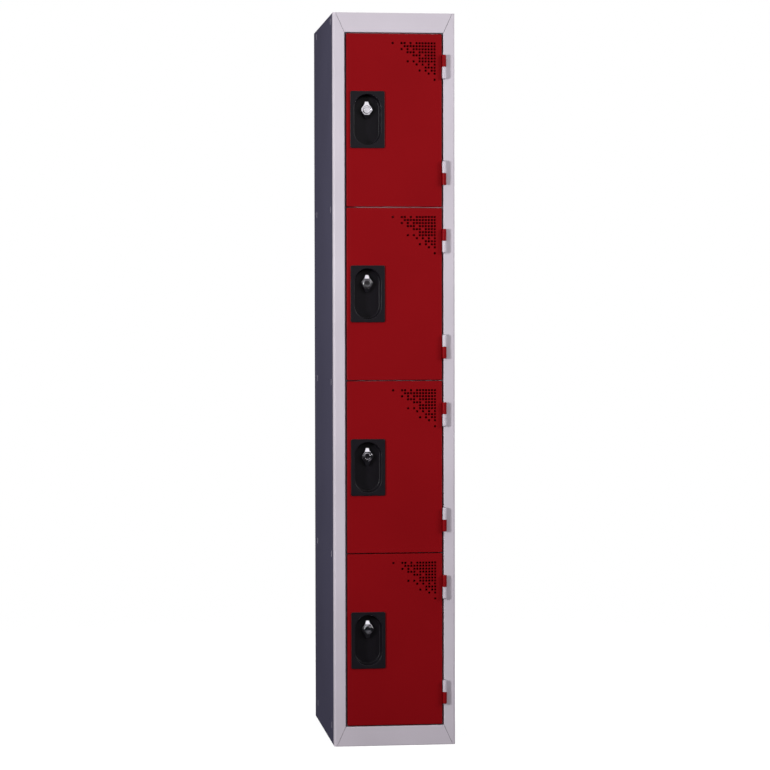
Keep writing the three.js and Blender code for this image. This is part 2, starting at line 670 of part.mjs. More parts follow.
// The cam is cranked forward so that its tip closes behind the stile's stop flange
function lockCam() {
  const mid = CAM_SHEET / 2;
  const toStop = CUP_X + STOP_EDGE;
  const pastCup = CUP_BODY_HALF_HEIGHT - LOCK_Z;
  const tipStart = Math.max(toStop, pastCup) + SEAT_GAP;
  const tipEnd = Math.max(toStop, pastCup) + CAM_CATCH;
  const profile = prism(foldedSection([
    [CAM_FRONT + mid, -CAM_HUB_RADIUS],
    [CAM_FRONT + mid, tipStart - CAM_CRANK_RUN],
    [CAM_TIP_FRONT + mid, tipStart],
    [CAM_TIP_FRONT + mid, tipEnd],
  ], CAM_SHEET, CAM_BEND), 'x', -CAM_HUB_RADIUS, CAM_HUB_RADIUS);
  const half = CAM_WIDTH / 2;
  const shoulder = Math.acos(half / CAM_HUB_RADIUS);
  const plan = new THREE.Shape();
  plan.absarc(0, tipEnd - half, half, 0, Math.PI);
  plan.absarc(0, 0, CAM_HUB_RADIUS, Math.PI - shoulder, 2 * Math.PI + shoulder);
  const planSolid = prism(plan, 'y', CAM_TIP_FRONT - OVERRUN, CAM_FRONT + CAM_SHEET + OVERRUN);
  const hole = SQUARE / 2 + SEAT_GAP;
  const square = prism(
    rectangle(-hole, hole, -hole, hole), 'y', CAM_FRONT - OVERRUN, CAM_FRONT + CAM_SHEET + OVERRUN,
  );
  return toGeometry(cut(profile.intersect(planSolid), square));
}

// Turned piece standing on the hinge axis, pointing up or down
function standing(profile, way) {
  const geometry = turned(profile);
  geometry.rotateX((way * Math.PI) / 2);
  return toSolid(geometry);
}

// Straight leaf from the knuckle back into the gap between door and frame
function leaf(left, way) {
  const ends = [way * HALF_GAP / 2, way * (HALF_GAP / 2 + KNUCKLE_LENGTH)].sort((a, b) => a - b);
  return prism(rectangle(left, left + LEAF_THICKNESS, 0, LEAF_REACH - HINGE_Y), 'z', ...ends);
}

// Door half: blind from its outer end, so that only the frame half shows the pin
function doorKnuckle(way) {
  const inner = HALF_GAP / 2;
  const outer = inner + KNUCKLE_LENGTH;
  const boreEnd = inner + PIN_IN_DOOR_HALF + 2 * SEAT_GAP;
  const knuckle = standing([
    [0, boreEnd],
    [BORE_RADIUS, boreEnd],
    [BORE_RADIUS, inner],
    [KNUCKLE_RADIUS, inner],
    [KNUCKLE_RADIUS, outer - KNUCKLE_TAPER],
    [KNUCKLE_RADIUS - KNUCKLE_TAPER, outer],
    [0, outer],
  ], way);
  const bore = standing([
    [0, inner - OVERRUN],
    [BORE_RADIUS, inner - OVERRUN],
    [BORE_RADIUS, boreEnd],
    [0, boreEnd],
  ], way);
  return toGeometry(cut(join(knuckle, leaf(-KNUCKLE_RADIUS, way)), bore));
}

// Frame half: bored through for the pin, on the other side of the hinge's middle
function frameKnuckle(way) {
  const inner = HALF_GAP / 2;
  const outer = inner + KNUCKLE_LENGTH;
  const knuckle = standing([
    [0, inner],
    [KNUCKLE_RADIUS, inner],
    [KNUCKLE_RADIUS, outer - KNUCKLE_TAPER],
    [KNUCKLE_RADIUS - KNUCKLE_TAPER, outer],
    [0, outer],
  ], -way);
  const left = OPENING_HALF - HINGE_X - SEAT_GAP - LEAF_THICKNESS;
  const bore = standing([
    [0, inner - OVERRUN],
    [BORE_RADIUS, inner - OVERRUN],
    [BORE_RADIUS, outer + OVERRUN],
    [0, outer + OVERRUN],
  ], -way);
  return toGeometry(cut(join(knuckle, leaf(left, -way)), bore));
}

function hingePin(way) {
  const bottom = -HALF_GAP / 2 - KNUCKLE_LENGTH - PIN_PROUD;
  const top = HALF_GAP / 2 + PIN_IN_DOOR_HALF;
  return toGeometry(standing([
    [0, bottom],
    [PIN_RADIUS - PIN_ROUNDING, bottom],
    [PIN_RADIUS, bottom + PIN_ROUNDING],
    [PIN_RADIUS, top],
    [0, top],
  ], way));
}

function piece(parent, name, geometry, finish) {
  const mesh = new THREE.Mesh(geometry, new THREE.MeshStandardMaterial(finish));
  mesh.name = name;
  parent.add(mesh);
  return mesh;
}

function place(parent, x, y, z) {
  const group = new THREE.Group();
  group.position.set(x, y, z);
  parent.add(group);
  return group;
}

function addCarcass(locker) {
  [['left', -1], ['right', 1]].forEach(([side, sign]) => {
    piece(locker, `side_panel_${side}`, sidePanel(sign), FINISHES.sideDark);
    piece(locker, `frame_stile_${side}`, frameStile(sign), FINISHES.frameGrey);
  });
  piece(locker, 'frame_rail_bottom', frameRail(0, 1), FINISHES.frameGrey);
  piece(locker, 'frame_rail_top', frameRail(HEIGHT, -1), FINISHES.frameGrey);
  piece(locker, 'back_panel', backPanel(), FINISHES.sideDark);
  const baseTop = level(0) + DECK_ABOVE_LEVEL;
  const base = tray(baseTop, TRAY_FLANGE, baseTop - SHELF_TAB_DROP);
  const roof = tray(HEIGHT, ROOF_FLANGE, HEIGHT - ROOF_TAB_DROP);
  piece(locker, 'base_panel', toGeometry(base), FINISHES.frameGrey);
  piece(locker, 'roof_panel', toGeometry(roof), FINISHES.frameGrey);
  for (let number = 1; number < COMPARTMENTS; number += 1) {
    piece(locker, `shelf_${number}`, shelf(level(COMPARTMENTS - number)), FINISHES.frameGrey);
  }
}

// Geometry that every door repeats
const panelGeometry = doorPanel();
const cupGeometry = handleCup();
const housingGeometry = lockHousing();
const nutGeometry = lockNut();
const knobGeometry = lockKnob();
const camGeometry = lockCam();
const HINGES = [['top', 1], ['bottom', -1]].map(([end, way]) => ({
  end,
  z: way * (PITCH / 2 - HINGE_FROM_LEVEL),
  door: doorKnuckle(way),
  frame: frameKnuckle(way),
  pin: hingePin(way),
}));

function addDoor(locker, number) {
  const name = `door_${number}`;
  const door = place(locker, 0, 0, level(COMPARTMENTS - number) + PITCH / 2);
  piece(door, `${name}_panel`, panelGeometry, FINISHES.doorRed);
  piece(place(door, CUP_X, 0, 0), `${name}_handle_cup`, cupGeometry, FINISHES.cupBlack);
  const lock = place(door, CUP_X, 0, LOCK_Z);
  piece(lock, `${name}_lock_housing`, housingGeometry, FINISHES.zinc);
  piece(lock, `${name}_lock_nut`, nutGeometry, FINISHES.zinc);
  piece(lock, `${name}_lock_knob`, knobGeometry, FINISHES.chrome);
  piece(lock, `${name}_lock_cam`, camGeometry, FINISHES.zinc);
  HINGES.forEach((hinge) => {
    const axis = place(door, HINGE_X, HINGE_Y, hinge.z);
    piece(axis, `${name}_knuckle_${hinge.end}`, hinge.door, FINISHES.doorRed);
    piece(axis, `frame_knuckle_${number}_${hinge.end}`, hinge.frame, FINISHES.frameGrey);
    piece(axis, `hinge_pin_${number}_${hinge.end}`, hinge.pin, FINISHES.zinc);
  });
}

const locker = new THREE.Group();
locker.position.y = -(DEPTH + FRONT_REACH) / 2;
addCarcass(locker);
for (let number = 1; number <= COMPARTMENTS; number += 1) {
  addDoor(locker, number);
}

export default locker;
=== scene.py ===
"""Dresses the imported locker, one column of four compartments behind hinged doors.

Metres, in the frame's own axes: X runs across the front, the front faces -Y and Z is up.
"""

import json
import logging
import math
from dataclasses import dataclass
from enum import Enum
from typing import Iterable, Sequence, Union

import bmesh
import bpy
from mathutils import Matrix, Vector


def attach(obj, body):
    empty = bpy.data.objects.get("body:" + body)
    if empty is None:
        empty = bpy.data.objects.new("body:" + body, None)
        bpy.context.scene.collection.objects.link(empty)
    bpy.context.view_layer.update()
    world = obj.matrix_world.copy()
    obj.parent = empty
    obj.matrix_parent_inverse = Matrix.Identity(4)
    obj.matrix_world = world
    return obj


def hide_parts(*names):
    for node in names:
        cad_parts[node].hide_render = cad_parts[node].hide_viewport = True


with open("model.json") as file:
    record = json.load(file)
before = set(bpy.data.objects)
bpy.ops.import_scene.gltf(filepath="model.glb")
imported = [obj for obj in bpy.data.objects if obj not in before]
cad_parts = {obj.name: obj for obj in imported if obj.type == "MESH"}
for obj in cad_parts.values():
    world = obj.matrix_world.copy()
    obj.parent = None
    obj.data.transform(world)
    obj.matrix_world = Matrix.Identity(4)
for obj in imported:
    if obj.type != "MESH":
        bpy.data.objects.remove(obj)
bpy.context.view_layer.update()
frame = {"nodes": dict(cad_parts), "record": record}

log = logging.getLogger("locker")

MM = 0.001
DOOR_NUMBERS = (1, 2, 3, 4)

Point = tuple[float, float]
Point3 = tuple[float, float, float]
Colour = tuple[float, float, float, float]
Operand = Union[float, "Value"]


def linear(hex_colour: str) -> Colour:
    """Turns a screen colour into the linear one that shaders take.

    Args:
        hex_colour: Six hexadecimal digits, red first.

    Returns:
        Red, green, blue and a full alpha.
    """
    channels = [channel / 255 for channel in bytes.fromhex(hex_colour)]
    toe, slope, lift, power = 0.04045, 12.92, 0.055, 2.4
    return (*(c / slope if c <= toe else ((c + lift) / (1 + lift)) ** power for c in channels), 1.0)


def shaded(colour: Colour, share: float) -> Colour:
    """Gives the colour with its three channels scaled by a share."""
    return (*(min(1.0, channel * share) for channel in colour[:3]), 1.0)


def new_object(name: str, data: bpy.types.ID) -> bpy.types.Object:
    """Makes an object and links it to the scene."""
    made = bpy.data.objects.new(name, data)
    bpy.context.scene.collection.objects.link(made)
    return made


def new_verts(made: dict) -> list[bmesh.types.BMVert]:
    """Picks the vertices from what an extrusion made."""
    return [item for item in made["geom"] if isinstance(item, bmesh.types.BMVert)]


class Value:
    """A number in a shader, which Python's operators extend with Math nodes."""

    def __init__(self, graph: "Graph", source: bpy.types.NodeSocket) -> None:
        """Wraps one output socket of a graph."""
        self.graph = graph
        self.source = source

    def _maths(self, operation: str, first: Operand, second: Operand) -> "Value":
        """Adds one Math node and returns its result."""
        return self.graph.value("ShaderNodeMath", {"operation": operation}, {0: first, 1: second})

    def __add__(self, other: Operand) -> "Value":
        """Adds."""
        return self._maths("ADD", self, other)

    def __radd__(self, other: Operand) -> "Value":
        """Adds, with the number on the left."""
        return self._maths("ADD", other, self)

    def __sub__(self, other: Operand) -> "Value":
        """Subtracts."""
        return self._maths("SUBTRACT", self, other)

    def __rsub__(self, other: Operand) -> "Value":
        """Subtracts from the number on the left."""
        return self._maths("SUBTRACT", other, self)

    def __mul__(self, other: Operand) -> "Value":
        """Multiplies."""
        return self._maths("MULTIPLY", self, other)

    def __rmul__(self, other: Operand) -> "Value":
        """Multiplies, with the number on the left."""
        return self._maths("MULTIPLY", other, self)


class Graph:
    """The node tree of one material or of the world."""

    def __init__(self, owner: Union[bpy.types.Material, bpy.types.World]) -> None:
        """Empties the owner's node tree."""
        owner.use_nodes = True
        self.tree = owner.node_tree
        self.tree.nodes.clear()

    def node(self, kind: str, settings: dict | None = None, inputs: dict | None = None) -> bpy.types.Node:
        """Adds a node.

        Args:
            kind: The node's type.
            settings: Its properties by name, set first.
            inputs: Values or links by the name or number of an input socket.

        Returns:
            The new node.
        """
        made = self.tree.nodes.new(kind)
        for name, setting in (settings or {}).items():
            setattr(made, name, setting)
        for key, given in (inputs or {}).items():
            target = self._socket(made.inputs, key)
            if isinstance(given, Value):
                self.tree.links.new(given.source, target)
            else:
                target.default_value = given
        return made

    def value(
        self,
        kind: str,
        settings: dict | None = None,
        inputs: dict | None = None,
        output: Union[int, str] = 0,
    ) -> Value:
        """Adds a node as the node method does, and returns one of its outputs."""
        made = self.node(kind, settings, inputs)
        return Value(self, self._socket(made.outputs, output))

    @staticmethod
    def _socket(sockets: bpy.types.bpy_prop_collection, key: Union[int, str]) -> bpy.types.NodeSocket:
        """Finds a socket that is in use, by its name or number."""
        used = [socket for socket in sockets if socket.enabled]
        return used[key] if isinstance(key, int) else next(s for s in used if s.name == key)

    def noise(self, where: Value, scale: float, detail: float = 2.0, stretch: Point3 = (1, 1, 1)) -> Value:
        """Adds a noise pattern.

        Args:
            where: The coordinates that it reads.
            scale: Its cells to a metre.
            detail: Its octaves.
            stretch: How much finer it is along each axis.

        Returns:
            The pattern, from 0 to 1.
        """
        placed = self.value("ShaderNodeMapping", {}, {"Vector": where, "Scale": stretch}, "Vector")
        inputs = {"Vector": placed, "Scale": scale, "Detail": detail}
        return self.value("ShaderNodeTexNoise", {"noise_dimensions": "3D"}, inputs)

    def blend(self, share: Operand, first: Union[Colour, Value], second: Union[Colour, Value]) -> Value:
        """Mixes two colours by a share from 0 to 1."""
        inputs = {"Factor": share, "A": first, "B": second}
        return self.value("ShaderNodeMix", {"data_type": "RGBA"}, inputs, "Result")

    def steps(self, given: Value, low: float, high: float) -> Value:
        """Maps low..high of a value smoothly onto 0..1."""
        inputs = {"Value": given, "From Min": low, "From Max": high}
        return self.value("ShaderNodeMapRange", {"interpolation_type": "SMOOTHSTEP"}, inputs, "Result")

    def larger(self, first: Operand, second: Operand) -> Value:
        """Gives the larger of two numbers."""
        return self.value("ShaderNodeMath", {"operation": "MAXIMUM"}, {0: first, 1: second})

    def bump(self, height: Value, strength: float, distance: float) -> Value:
        """Gives the normals of a surface that a pattern raises."""
        inputs = {"Strength": strength, "Distance": distance, "Height": height}
        return self.value("ShaderNodeBump", {}, inputs, "Normal")

    def surface(self, shader: Value) -> None:
        """Shows a shader on the surface."""
        world = isinstance(self.tree.id_data, bpy.types.World)
        self.node("ShaderNodeOutputWorld" if world else "ShaderNodeOutputMaterial", {}, {"Surface": shader})


@dataclass(frozen=True)
class Coat:
    """A finish whose grain and tone come from noise on the object's own coordinates."""

    name: str
    colour: Colour

    def material(self) -> bpy.types.Material:
        """Builds the finish's material."""
        made = bpy.data.materials.new(self.name)
        graph = Graph(made)
        where = graph.value("ShaderNodeTexCoord", {}, {}, "Object")
        graph.surface(graph.value("ShaderNodeBsdfPrincipled", {}, self._inputs(graph, where), "BSDF"))
        return made

    def _inputs(self, graph: Graph, where: Value) -> dict:
        """Gives the shader's inputs, which each kind of coat works out for itself."""
        raise NotImplementedError


@dataclass(frozen=True)
class PowderCoat(Coat):
    """Baked powder on sheet steel: satin, a little pebbled, and not quite even in tone."""

    roughness: float = 0.42
    specular: float = 0.3
    smoothest: float = 0.06
    pebble: float = 430.0
    pebble_depth: float = 0.05 * MM
    pebble_strength: float = 0.35
    grain: float = 1500.0
    grain_roughness: float = 0.05
    cloud: float = 4.5
    cloud_share: float = 0.6
    cloud_roughness: float = 0.08
    tone_range: Point = (0.25, 0.75)
    unevenness: float = 0.07

    def _inputs(self, graph: Graph, where: Value) -> dict:
        """Gives the shader's inputs."""
        clouds = graph.noise(where, self.cloud, 3.0)
        grain = graph.noise(where, self.grain, 1.0)
        tone = graph.steps(clouds * self.cloud_share + grain * (1 - self.cloud_share), *self.tone_range)
        light, dark = shaded(self.colour, 1 + self.unevenness), shaded(self.colour, 1 - self.unevenness)
        rough = (self.roughness - self.smoothest) + self.cloud_roughness * clouds
        return {
            "Base Color": graph.blend(tone, dark, light),
            "Roughness": rough + self.grain_roughness * grain,
            "Specular IOR Level": self.specular,
            "Normal": graph.bump(graph.noise(where, self.pebble), self.pebble_strength, self.pebble_depth),
        }


@dataclass(frozen=True)
class MouldedPlastic(Coat):
    """Moulded plastic with a fine spark-eroded grain."""

    roughness: float = 0.5
    specular: float = 0.35
    grain: float = 2600.0
    grain_depth: float = 0.04 * MM
    grain_strength: float = 0.45
    grain_share: float = 0.7
    grain_roughness: float = 0.06
    rub: float = 38.0
    rub_range: Point = (0.52, 0.75)
    rub_polish: float = 0.1
    tones: Point = (0.8, 1.3)

    def _inputs(self, graph: Graph, where: Value) -> dict:
        """Gives the shader's inputs."""
        grain = graph.noise(where, self.grain, 3.0)
        rubbed = graph.steps(graph.noise(where, self.rub, 4.0), *self.rub_range)
        tone = grain * self.grain_share + rubbed * (1 - self.grain_share)
        return {
            "Base Color": graph.blend(tone, *(shaded(self.colour, share) for share in self.tones)),
            "Roughness": self.roughness - self.rub_polish * rubbed + self.grain_roughness * grain,
            "Specular IOR Level": self.specular,
            "Normal": graph.bump(grain, self.grain_strength, self.grain_depth),
        }


@dataclass(frozen=True)
class PlatedMetal(Coat):
    """Plated metal, with faint marks of handling and polishing."""

    roughness: float = 0.3
    mottle: float = 0.08
    crystal: float = 260.0
    smear: float = 60.0
    smear_range: Point = (0.45, 0.7)
    smear_share: float = 0.5
    smear_roughness: float = 0.07
    line: float = 420.0
    line_stretch: Point3 = (1, 1, 14)
    line_depth: float = 0.02 * MM
    line_strength: float = 0.12
    line_roughness: float = 0.03

    def _inputs(self, graph: Graph, where: Value) -> dict:
        """Gives the shader's inputs."""
        cells = {"Vector": where, "Scale": self.crystal}
        crystals = graph.value("ShaderNodeTexVoronoi", {}, cells, "Distance")
        smears = graph.steps(graph.noise(where, self.smear, 3.0), *self.smear_range)
        lines = graph.noise(where, self.line, 2.0, self.line_stretch)
        tone = graph.steps(crystals * (1 - self.smear_share) + smears * self.smear_share, 0.0, 1.0)
        light, dark = shaded(self.colour, 1 + self.mottle / 2), shaded(self.colour, 1 - self.mottle)
        return {
            "Base Color": graph.blend(tone, light, dark),
            "Metallic": 1.0,
            "Roughness": self.roughness + self.smear_roughness * smears + self.line_roughness * lines,
            "Normal": graph.bump(lines, self.line_strength, self.line_depth),
        }


class Finish(Enum):
    """The locker's finishes, each with the record's material slot that it belongs to."""

    FRAME = ("frame_grey", PowderCoat("frame_grey_coat", linear("cac3cc"), 0.42, 0.22))
    SIDES = ("side_dark", PowderCoat("side_dark_coat", linear("464456"), 0.55, 0.07))
    DOORS = ("door_red", PowderCoat("door_red_coat", linear("840a11"), 0.42, 0.06))
    CUPS = ("cup_black", MouldedPlastic("cup_black_plastic", linear("131016"), 0.38, 0.2))
    CHROME = ("knob_chrome", PlatedMetal("knob_chrome_plate", linear("ece8f0"), 0.06, 0.05))
    ZINC = ("zinc_steel", PlatedMetal("zinc_plate", linear("b7b9bd"), 0.3, 0.16))
    PINS = ("zinc_steel", PlatedMetal("pin_steel", linear("454a58"), 0.34, 0.12))

    @property
    def slot(self) -> str:
        """Name of the record's material slot."""
        return self.value[0]

    @property
    def material(self) -> bpy.types.Material:
        """The finish's material, built when it is first asked for."""
        return bpy.data.materials.get(self.value[1].name) or self.value[1].material()

    def dress(self, piece: bpy.types.Object) -> None:
        """Puts the finish on every face of a piece."""
        piece.data.materials.clear()
        piece.data.materials.append(self.material)


# Sizes below are in millimetres, except in PhotoCamera and Studio, which place things in metres.
FRAME_FACE = -244.7
CUP_PLACE = -65.75
LOCK_RISE = 25.25
RAIL_FACE = 48.0
PITCH = 426.0
MATCH = 1e-4
BEND_FACETS = 5
FOLD_ANGLE = math.radians(20)
SHARP_ANGLE = math.radians(31)
FLAT_ANGLE = math.radians(0.2)
UPSIDE_DOWN = (1, 1, -1)
WAYS_OUT = ((0, -1), (1, 0), (0, 1), (-1, 0))
WHITE = (1.0, 1.0, 1.0, 1.0)
RECORD = frame["record"]
FINISH_OF_SLOT = {finish.slot: finish for finish in Finish if finish is not Finish.PINS}
FINISH_OF_NODE = {part["node"]: FINISH_OF_SLOT[part["material_slot"]] for part in RECORD["subparts"]}
FINISH_OF_NODE.update({node: Finish.PINS for node in FINISH_OF_NODE if node.startswith("hinge_pin")})
BODY_OF_NODE = {node: body for body, nodes in RECORD["behaviour"]["bodies"].items() for node in nodes}


def level(index: int) -> float:
    """Height of the middle of the gap under a compartment, counted from the lowest."""
    return RAIL_FACE + PITCH * index


def door_height(number: int) -> float:
    """Height of a door's middle; door 1 is the top one."""
    return level(len(DOOR_NUMBERS) - number) + PITCH / 2


class Axis(Enum):
    """The axis that a section runs along, with the places of its two own coordinates and its length."""

    X = (1, 2, 0)
    Y = (0, 2, 1)
    Z = (0, 1, 2)

    def place(self, point: Point, along: float) -> Vector:
        """Puts a point of a section into space."""
        placed = Vector()
        for place, coordinate in zip(self.value, (*point, along)):
            placed[place] = coordinate
        return placed


class Form:
    """A mesh in the making, in millimetres from the frame's front face and the floor."""

    def __init__(self) -> None:
        """Starts empty."""
        self.shape = bmesh.new()

    @classmethod
    def prism(cls, outline: Sequence[Point], axis: Axis, low: float, high: float) -> "Form":
        """Extrudes a closed outline along an axis.

        Args:
            outline: The outline's corners, in order.
            axis: The axis that it runs along.
            low: Where it starts on that axis.
            high: Where it ends.

        Returns:
            A closed form.
        """
        form = cls()
        face = form.shape.faces.new([form.shape.verts.new(axis.place(point, low)) for point in outline])
        made = bmesh.ops.extrude_face_region(form.shape, geom=[face])
        bmesh.ops.translate(form.shape, verts=new_verts(made), vec=axis.place((0, 0), high - low))
        return form.outward()

    @classmethod
    def rod(cls, radius: float, low: float, high: float, axis: Axis) -> "Form":
        """Makes a round rod about an axis through the origin."""
        return cls.turned([(0, low), (radius, low), (radius, high), (0, high)], axis)

    @classmethod
    def box(cls, low: Point3, high: Point3) -> "Form":
        """Makes a box from its lowest and highest corners."""
        form = cls()
        bmesh.ops.create_cube(form.shape, size=1)
        bmesh.ops.scale(form.shape, verts=form.shape.verts, vec=Vector(high) - Vector(low))
        bmesh.ops.translate(form.shape, verts=form.shape.verts, vec=(Vector(low) + Vector(high)) / 2)
        return form

    @classmethod
    def turned(cls, profile: Sequence[Point], axis: Axis, steps: int = 48) -> "Form":
        """Spins a profile of radius and place about an axis through the origin.

        Args:
            profile: Radius and place along the axis, from end to end; it starts and ends at one point
                where the form is bored, or else on the axis.
            axis: The axis.
            steps: Facets of a full turn.

        Returns:
            A closed form.
        """
        form = cls()
        points = [form.shape.verts.new(axis.place((radius, 0), along)) for radius, along in profile]
        for first, second in zip(points, points[1:]):
            form.shape.edges.new((first, second))
        bmesh.ops.spin(
            form.shape,
            geom=form.shape.verts[:] + form.shape.edges[:],
            cent=(0, 0, 0),
            axis=axis.place((0, 0), 1),
            angle=math.tau,
            steps=steps,
            use_merge=True,
        )
        return form.outward()

    @classmethod
    def sheet(
        cls,
        path: Sequence[Point],
        axis: Axis,
        span: Point,
        radii: Sequence[float],
        thickness: float,
        facing: Point,
    ) -> "Form":
        """Folds a strip of sheet along a path.

        Args:
            path: The corners of the sheet's outer skin, in the section's plane.
            axis: The axis that the folds run along.
            span: Where the strip starts and ends on that axis.
            radii: The skin's bend radius at each fold.
            thickness: The sheet's thickness, added behind the skin.
            facing: The way in which the skin of the first run faces.

        Returns:
            A closed form.
        """
        form = cls()
        shape = form.shape
        points = [shape.verts.new(axis.place(point, span[0])) for point in path]
        edges = [shape.edges.new(pair) for pair in zip(points, points[1:])]
        ends = new_verts(bmesh.ops.extrude_edge_only(shape, edges=edges))
        bmesh.ops.translate(shape, verts=ends, vec=axis.place((0, 0), span[1] - span[0]))
        shape.normal_update()
        if edges[0].link_faces[0].normal.dot(axis.place(facing, 0)) < 0:
            bmesh.ops.reverse_faces(shape, faces=shape.faces)
        for point, radius in zip(path[1:-1], radii):
            start = axis.place(point, span[0])
            fold = [edge for edge in shape.edges if len(edge.link_faces) == 2
                    and min((vert.co - start).length for vert in edge.verts) < MATCH]
            form._bevel(fold, radius, BEND_FACETS)
        return form._thicken(thickness)

    @classmethod
    def pan(
        cls,
        low: Point,
        high: Point,
        moves: dict[tuple[int, int], Sequence[Point3]],
        bend: float,
        thickness: float,
    ) -> "Form":
        """Folds a flat sheet down on its four sides, with a notch at each corner.

        Args:
            low: The lowest corner of the flat between the notches, across and along.
            high: Its highest corner.
            moves: For each side, by its way out, the steps from the flat: how far out, how far down and
                how much each end is drawn in.
            bend: The skin's bend radius.
            thickness: The sheet's thickness, added behind the skin.

        Returns:
            A closed form whose skin faces up, at height zero.
        """
        form = cls()
        shape = form.shape
        corners = [(low[0], low[1]), (high[0], low[1]), (high[0], high[1]), (low[0], high[1])]
        flat = shape.faces.new([shape.verts.new((*corner, 0)) for corner in corners])
        for side, edge in zip(WAYS_OUT, flat.edges[:]):
            for out, down, narrow in moves[side]:
                ends = new_verts(bmesh.ops.extrude_edge_only(shape, edges=[edge]))
                edge = next(item for item in ends[0].link_edges if item.other_vert(ends[0]) is ends[1])
                bmesh.ops.translate(shape, verts=ends, vec=(side[0] * out, side[1] * out, -down))
                along = (ends[1].co - ends[0].co).normalized() * narrow
                ends[0].co += along
                ends[1].co -= along
        bmesh.ops.recalc_face_normals(shape, faces=shape.faces)
        if flat.normal.z < 0:
            bmesh.ops.reverse_faces(shape, faces=shape.faces)
        form._bevel(form._sharp(FOLD_ANGLE), bend, BEND_FACETS)
        return form._thicken(thickness)

    @classmethod
    def slab(cls, half_width: float, half_height: float, corner: float, front: float, steps: int) -> "Form":
        """Makes an upright flat face with round corners, which faces the back.

        Args:
            half_width: Half its width.
            half_height: Half its height.
            corner: The radius of its corners.
            front: Where it stands, behind the frame's front face.
            steps: Facets of each corner.

        Returns:
            A form of one face, for the grow method.
        """
        form = cls()
        shape = form.shape
        bmesh.ops.create_grid(shape, x_segments=1, y_segments=1, size=1)
        bmesh.ops.scale(shape, verts=shape.verts, vec=(half_width, half_height, 1))
        form._bevel(shape.verts[:], corner, steps, "VERTICES")
        bmesh.ops.remove_doubles(shape, verts=shape.verts, dist=MATCH)
        bmesh.ops.rotate(shape, verts=shape.verts, matrix=Matrix.Rotation(math.pi / 2, 3, "X"))
        bmesh.ops.translate(shape, verts=shape.verts, vec=(0, front, 0))
        shape.normal_update()
        if shape.faces[:][0].normal.y < 0:
            bmesh.ops.reverse_faces(shape, faces=shape.faces)
        return form

    def grow(self, profile: Sequence[Point]) -> "Form":
        """Draws a slab's face back through a profile, and closes the form.

        Args:
            profile: For each step, how far in from the slab's edge and how far back from its face.

        Returns:
            The form itself.
        """
        shape = self.shape
        face = shape.faces[:][0]
        made = bmesh.ops.extrude_face_region(shape, geom=[face])["geom"]
        cap = next(item for item in made if isinstance(item, bmesh.types.BMFace))
        bmesh.ops.translate(shape, verts=cap.verts[:], vec=(0, profile[0][1], 0))
        inset, depth = 0.0, profile[0][1]
        for next_inset, next_depth in profile[1:]:
            shape.normal_update()
            if cap.normal.y < 0:
                cap.normal_flip()
            bmesh.ops.inset_individual(
                shape,
                faces=[cap],
                thickness=next_inset - inset,
                depth=next_depth - depth,
                use_even_offset=True,
            )
            inset, depth = next_inset, next_depth
        return self.outward()

    def _bevel(self, parts: list, offset: float, steps: int, affect: str = "EDGES") -> None:
        """Rounds some edges, or the corners of a flat face."""
        bmesh.ops.bevel(
            self.shape,
            geom=parts,
            offset=offset,
            offset_type="OFFSET",
            affect=affect,
            segments=steps,
            profile=0.5,
            material=-1,
            clamp_overlap=affect == "EDGES",
        )

    def _sharp(self, limit: float) -> list[bmesh.types.BMEdge]:
        """Finds the edges whose two faces turn by more than a limit, in radians."""
        shared = [edge for edge in self.shape.edges if len(edge.link_faces) == 2]
        return [edge for edge in shared if edge.calc_face_angle() > limit]

    def _thicken(self, thickness: float) -> "Form":
        """Gives a skin its thickness, behind it."""
        self.shape.normal_update()
        bmesh.ops.solidify(self.shape, geom=self.shape.faces[:], thickness=thickness)
        return self.outward()

    def outward(self) -> "Form":
        """Merges doubles and turns every face outwards."""
        bmesh.ops.remove_doubles(self.shape, verts=self.shape.verts, dist=MATCH)
        bmesh.ops.recalc_face_normals(self.shape, faces=self.shape.faces)
        return self

    def soften(self, offset: float, steps: int = 2, sharper_than: float = 40.0) -> "Form":
        """Rounds every edge that turns by more than some degrees."""
        self._bevel(self._sharp(math.radians(sharper_than)), offset, steps)
        return self

    def moved(self, across: float = 0.0, back: float = 0.0, up: float = 0.0) -> "Form":
        """Moves the form."""
        bmesh.ops.translate(self.shape, verts=self.shape.verts, vec=(across, back, up))
        return self

    def turned_about(self, axis: str, degrees: float) -> "Form":
        """Turns the form about one of the axes through the origin."""
        turn = Matrix.Rotation(math.radians(degrees), 3, axis)
        bmesh.ops.rotate(self.shape, verts=self.shape.verts, matrix=turn)
        return self

    def mirrored(self, vec: Point3 = (-1, 1, 1)) -> "Form":
        """Gives a mirror image of the form, across the locker's middle unless told otherwise."""
        image = self.copy()
        bmesh.ops.scale(image.shape, verts=image.shape.verts, vec=vec)
        return image.outward()

    def copy(self) -> "Form":
        """Gives a copy of the form."""
        image = Form()
        image.shape = self.shape.copy()
        return image

    def with_loose(self, *others: "Form") -> "Form":
        """Takes in other forms that don't touch this one."""
        for other in others:
            mesh = other.to_mesh("loose")
            self.shape.from_mesh(mesh)
            bpy.data.meshes.remove(mesh)
        return self

    def joined(self, *others: "Form") -> "Form":
        """Gives the union with other forms."""
        return self._boolean("UNION", others)

    def cut(self, *others: "Form") -> "Form":
        """Gives the form less what other forms hold."""
        return self._boolean("DIFFERENCE", others)

    def met(self, other: "Form") -> "Form":
        """Gives what the form shares with another."""
        return self._boolean("INTERSECT", (other,))

    def to_mesh(self, name: str) -> bpy.types.Mesh:
        """Writes the form to a new mesh, still in millimetres."""
        mesh = bpy.data.meshes.new(name)
        self.shape.to_mesh(mesh)
        return mesh

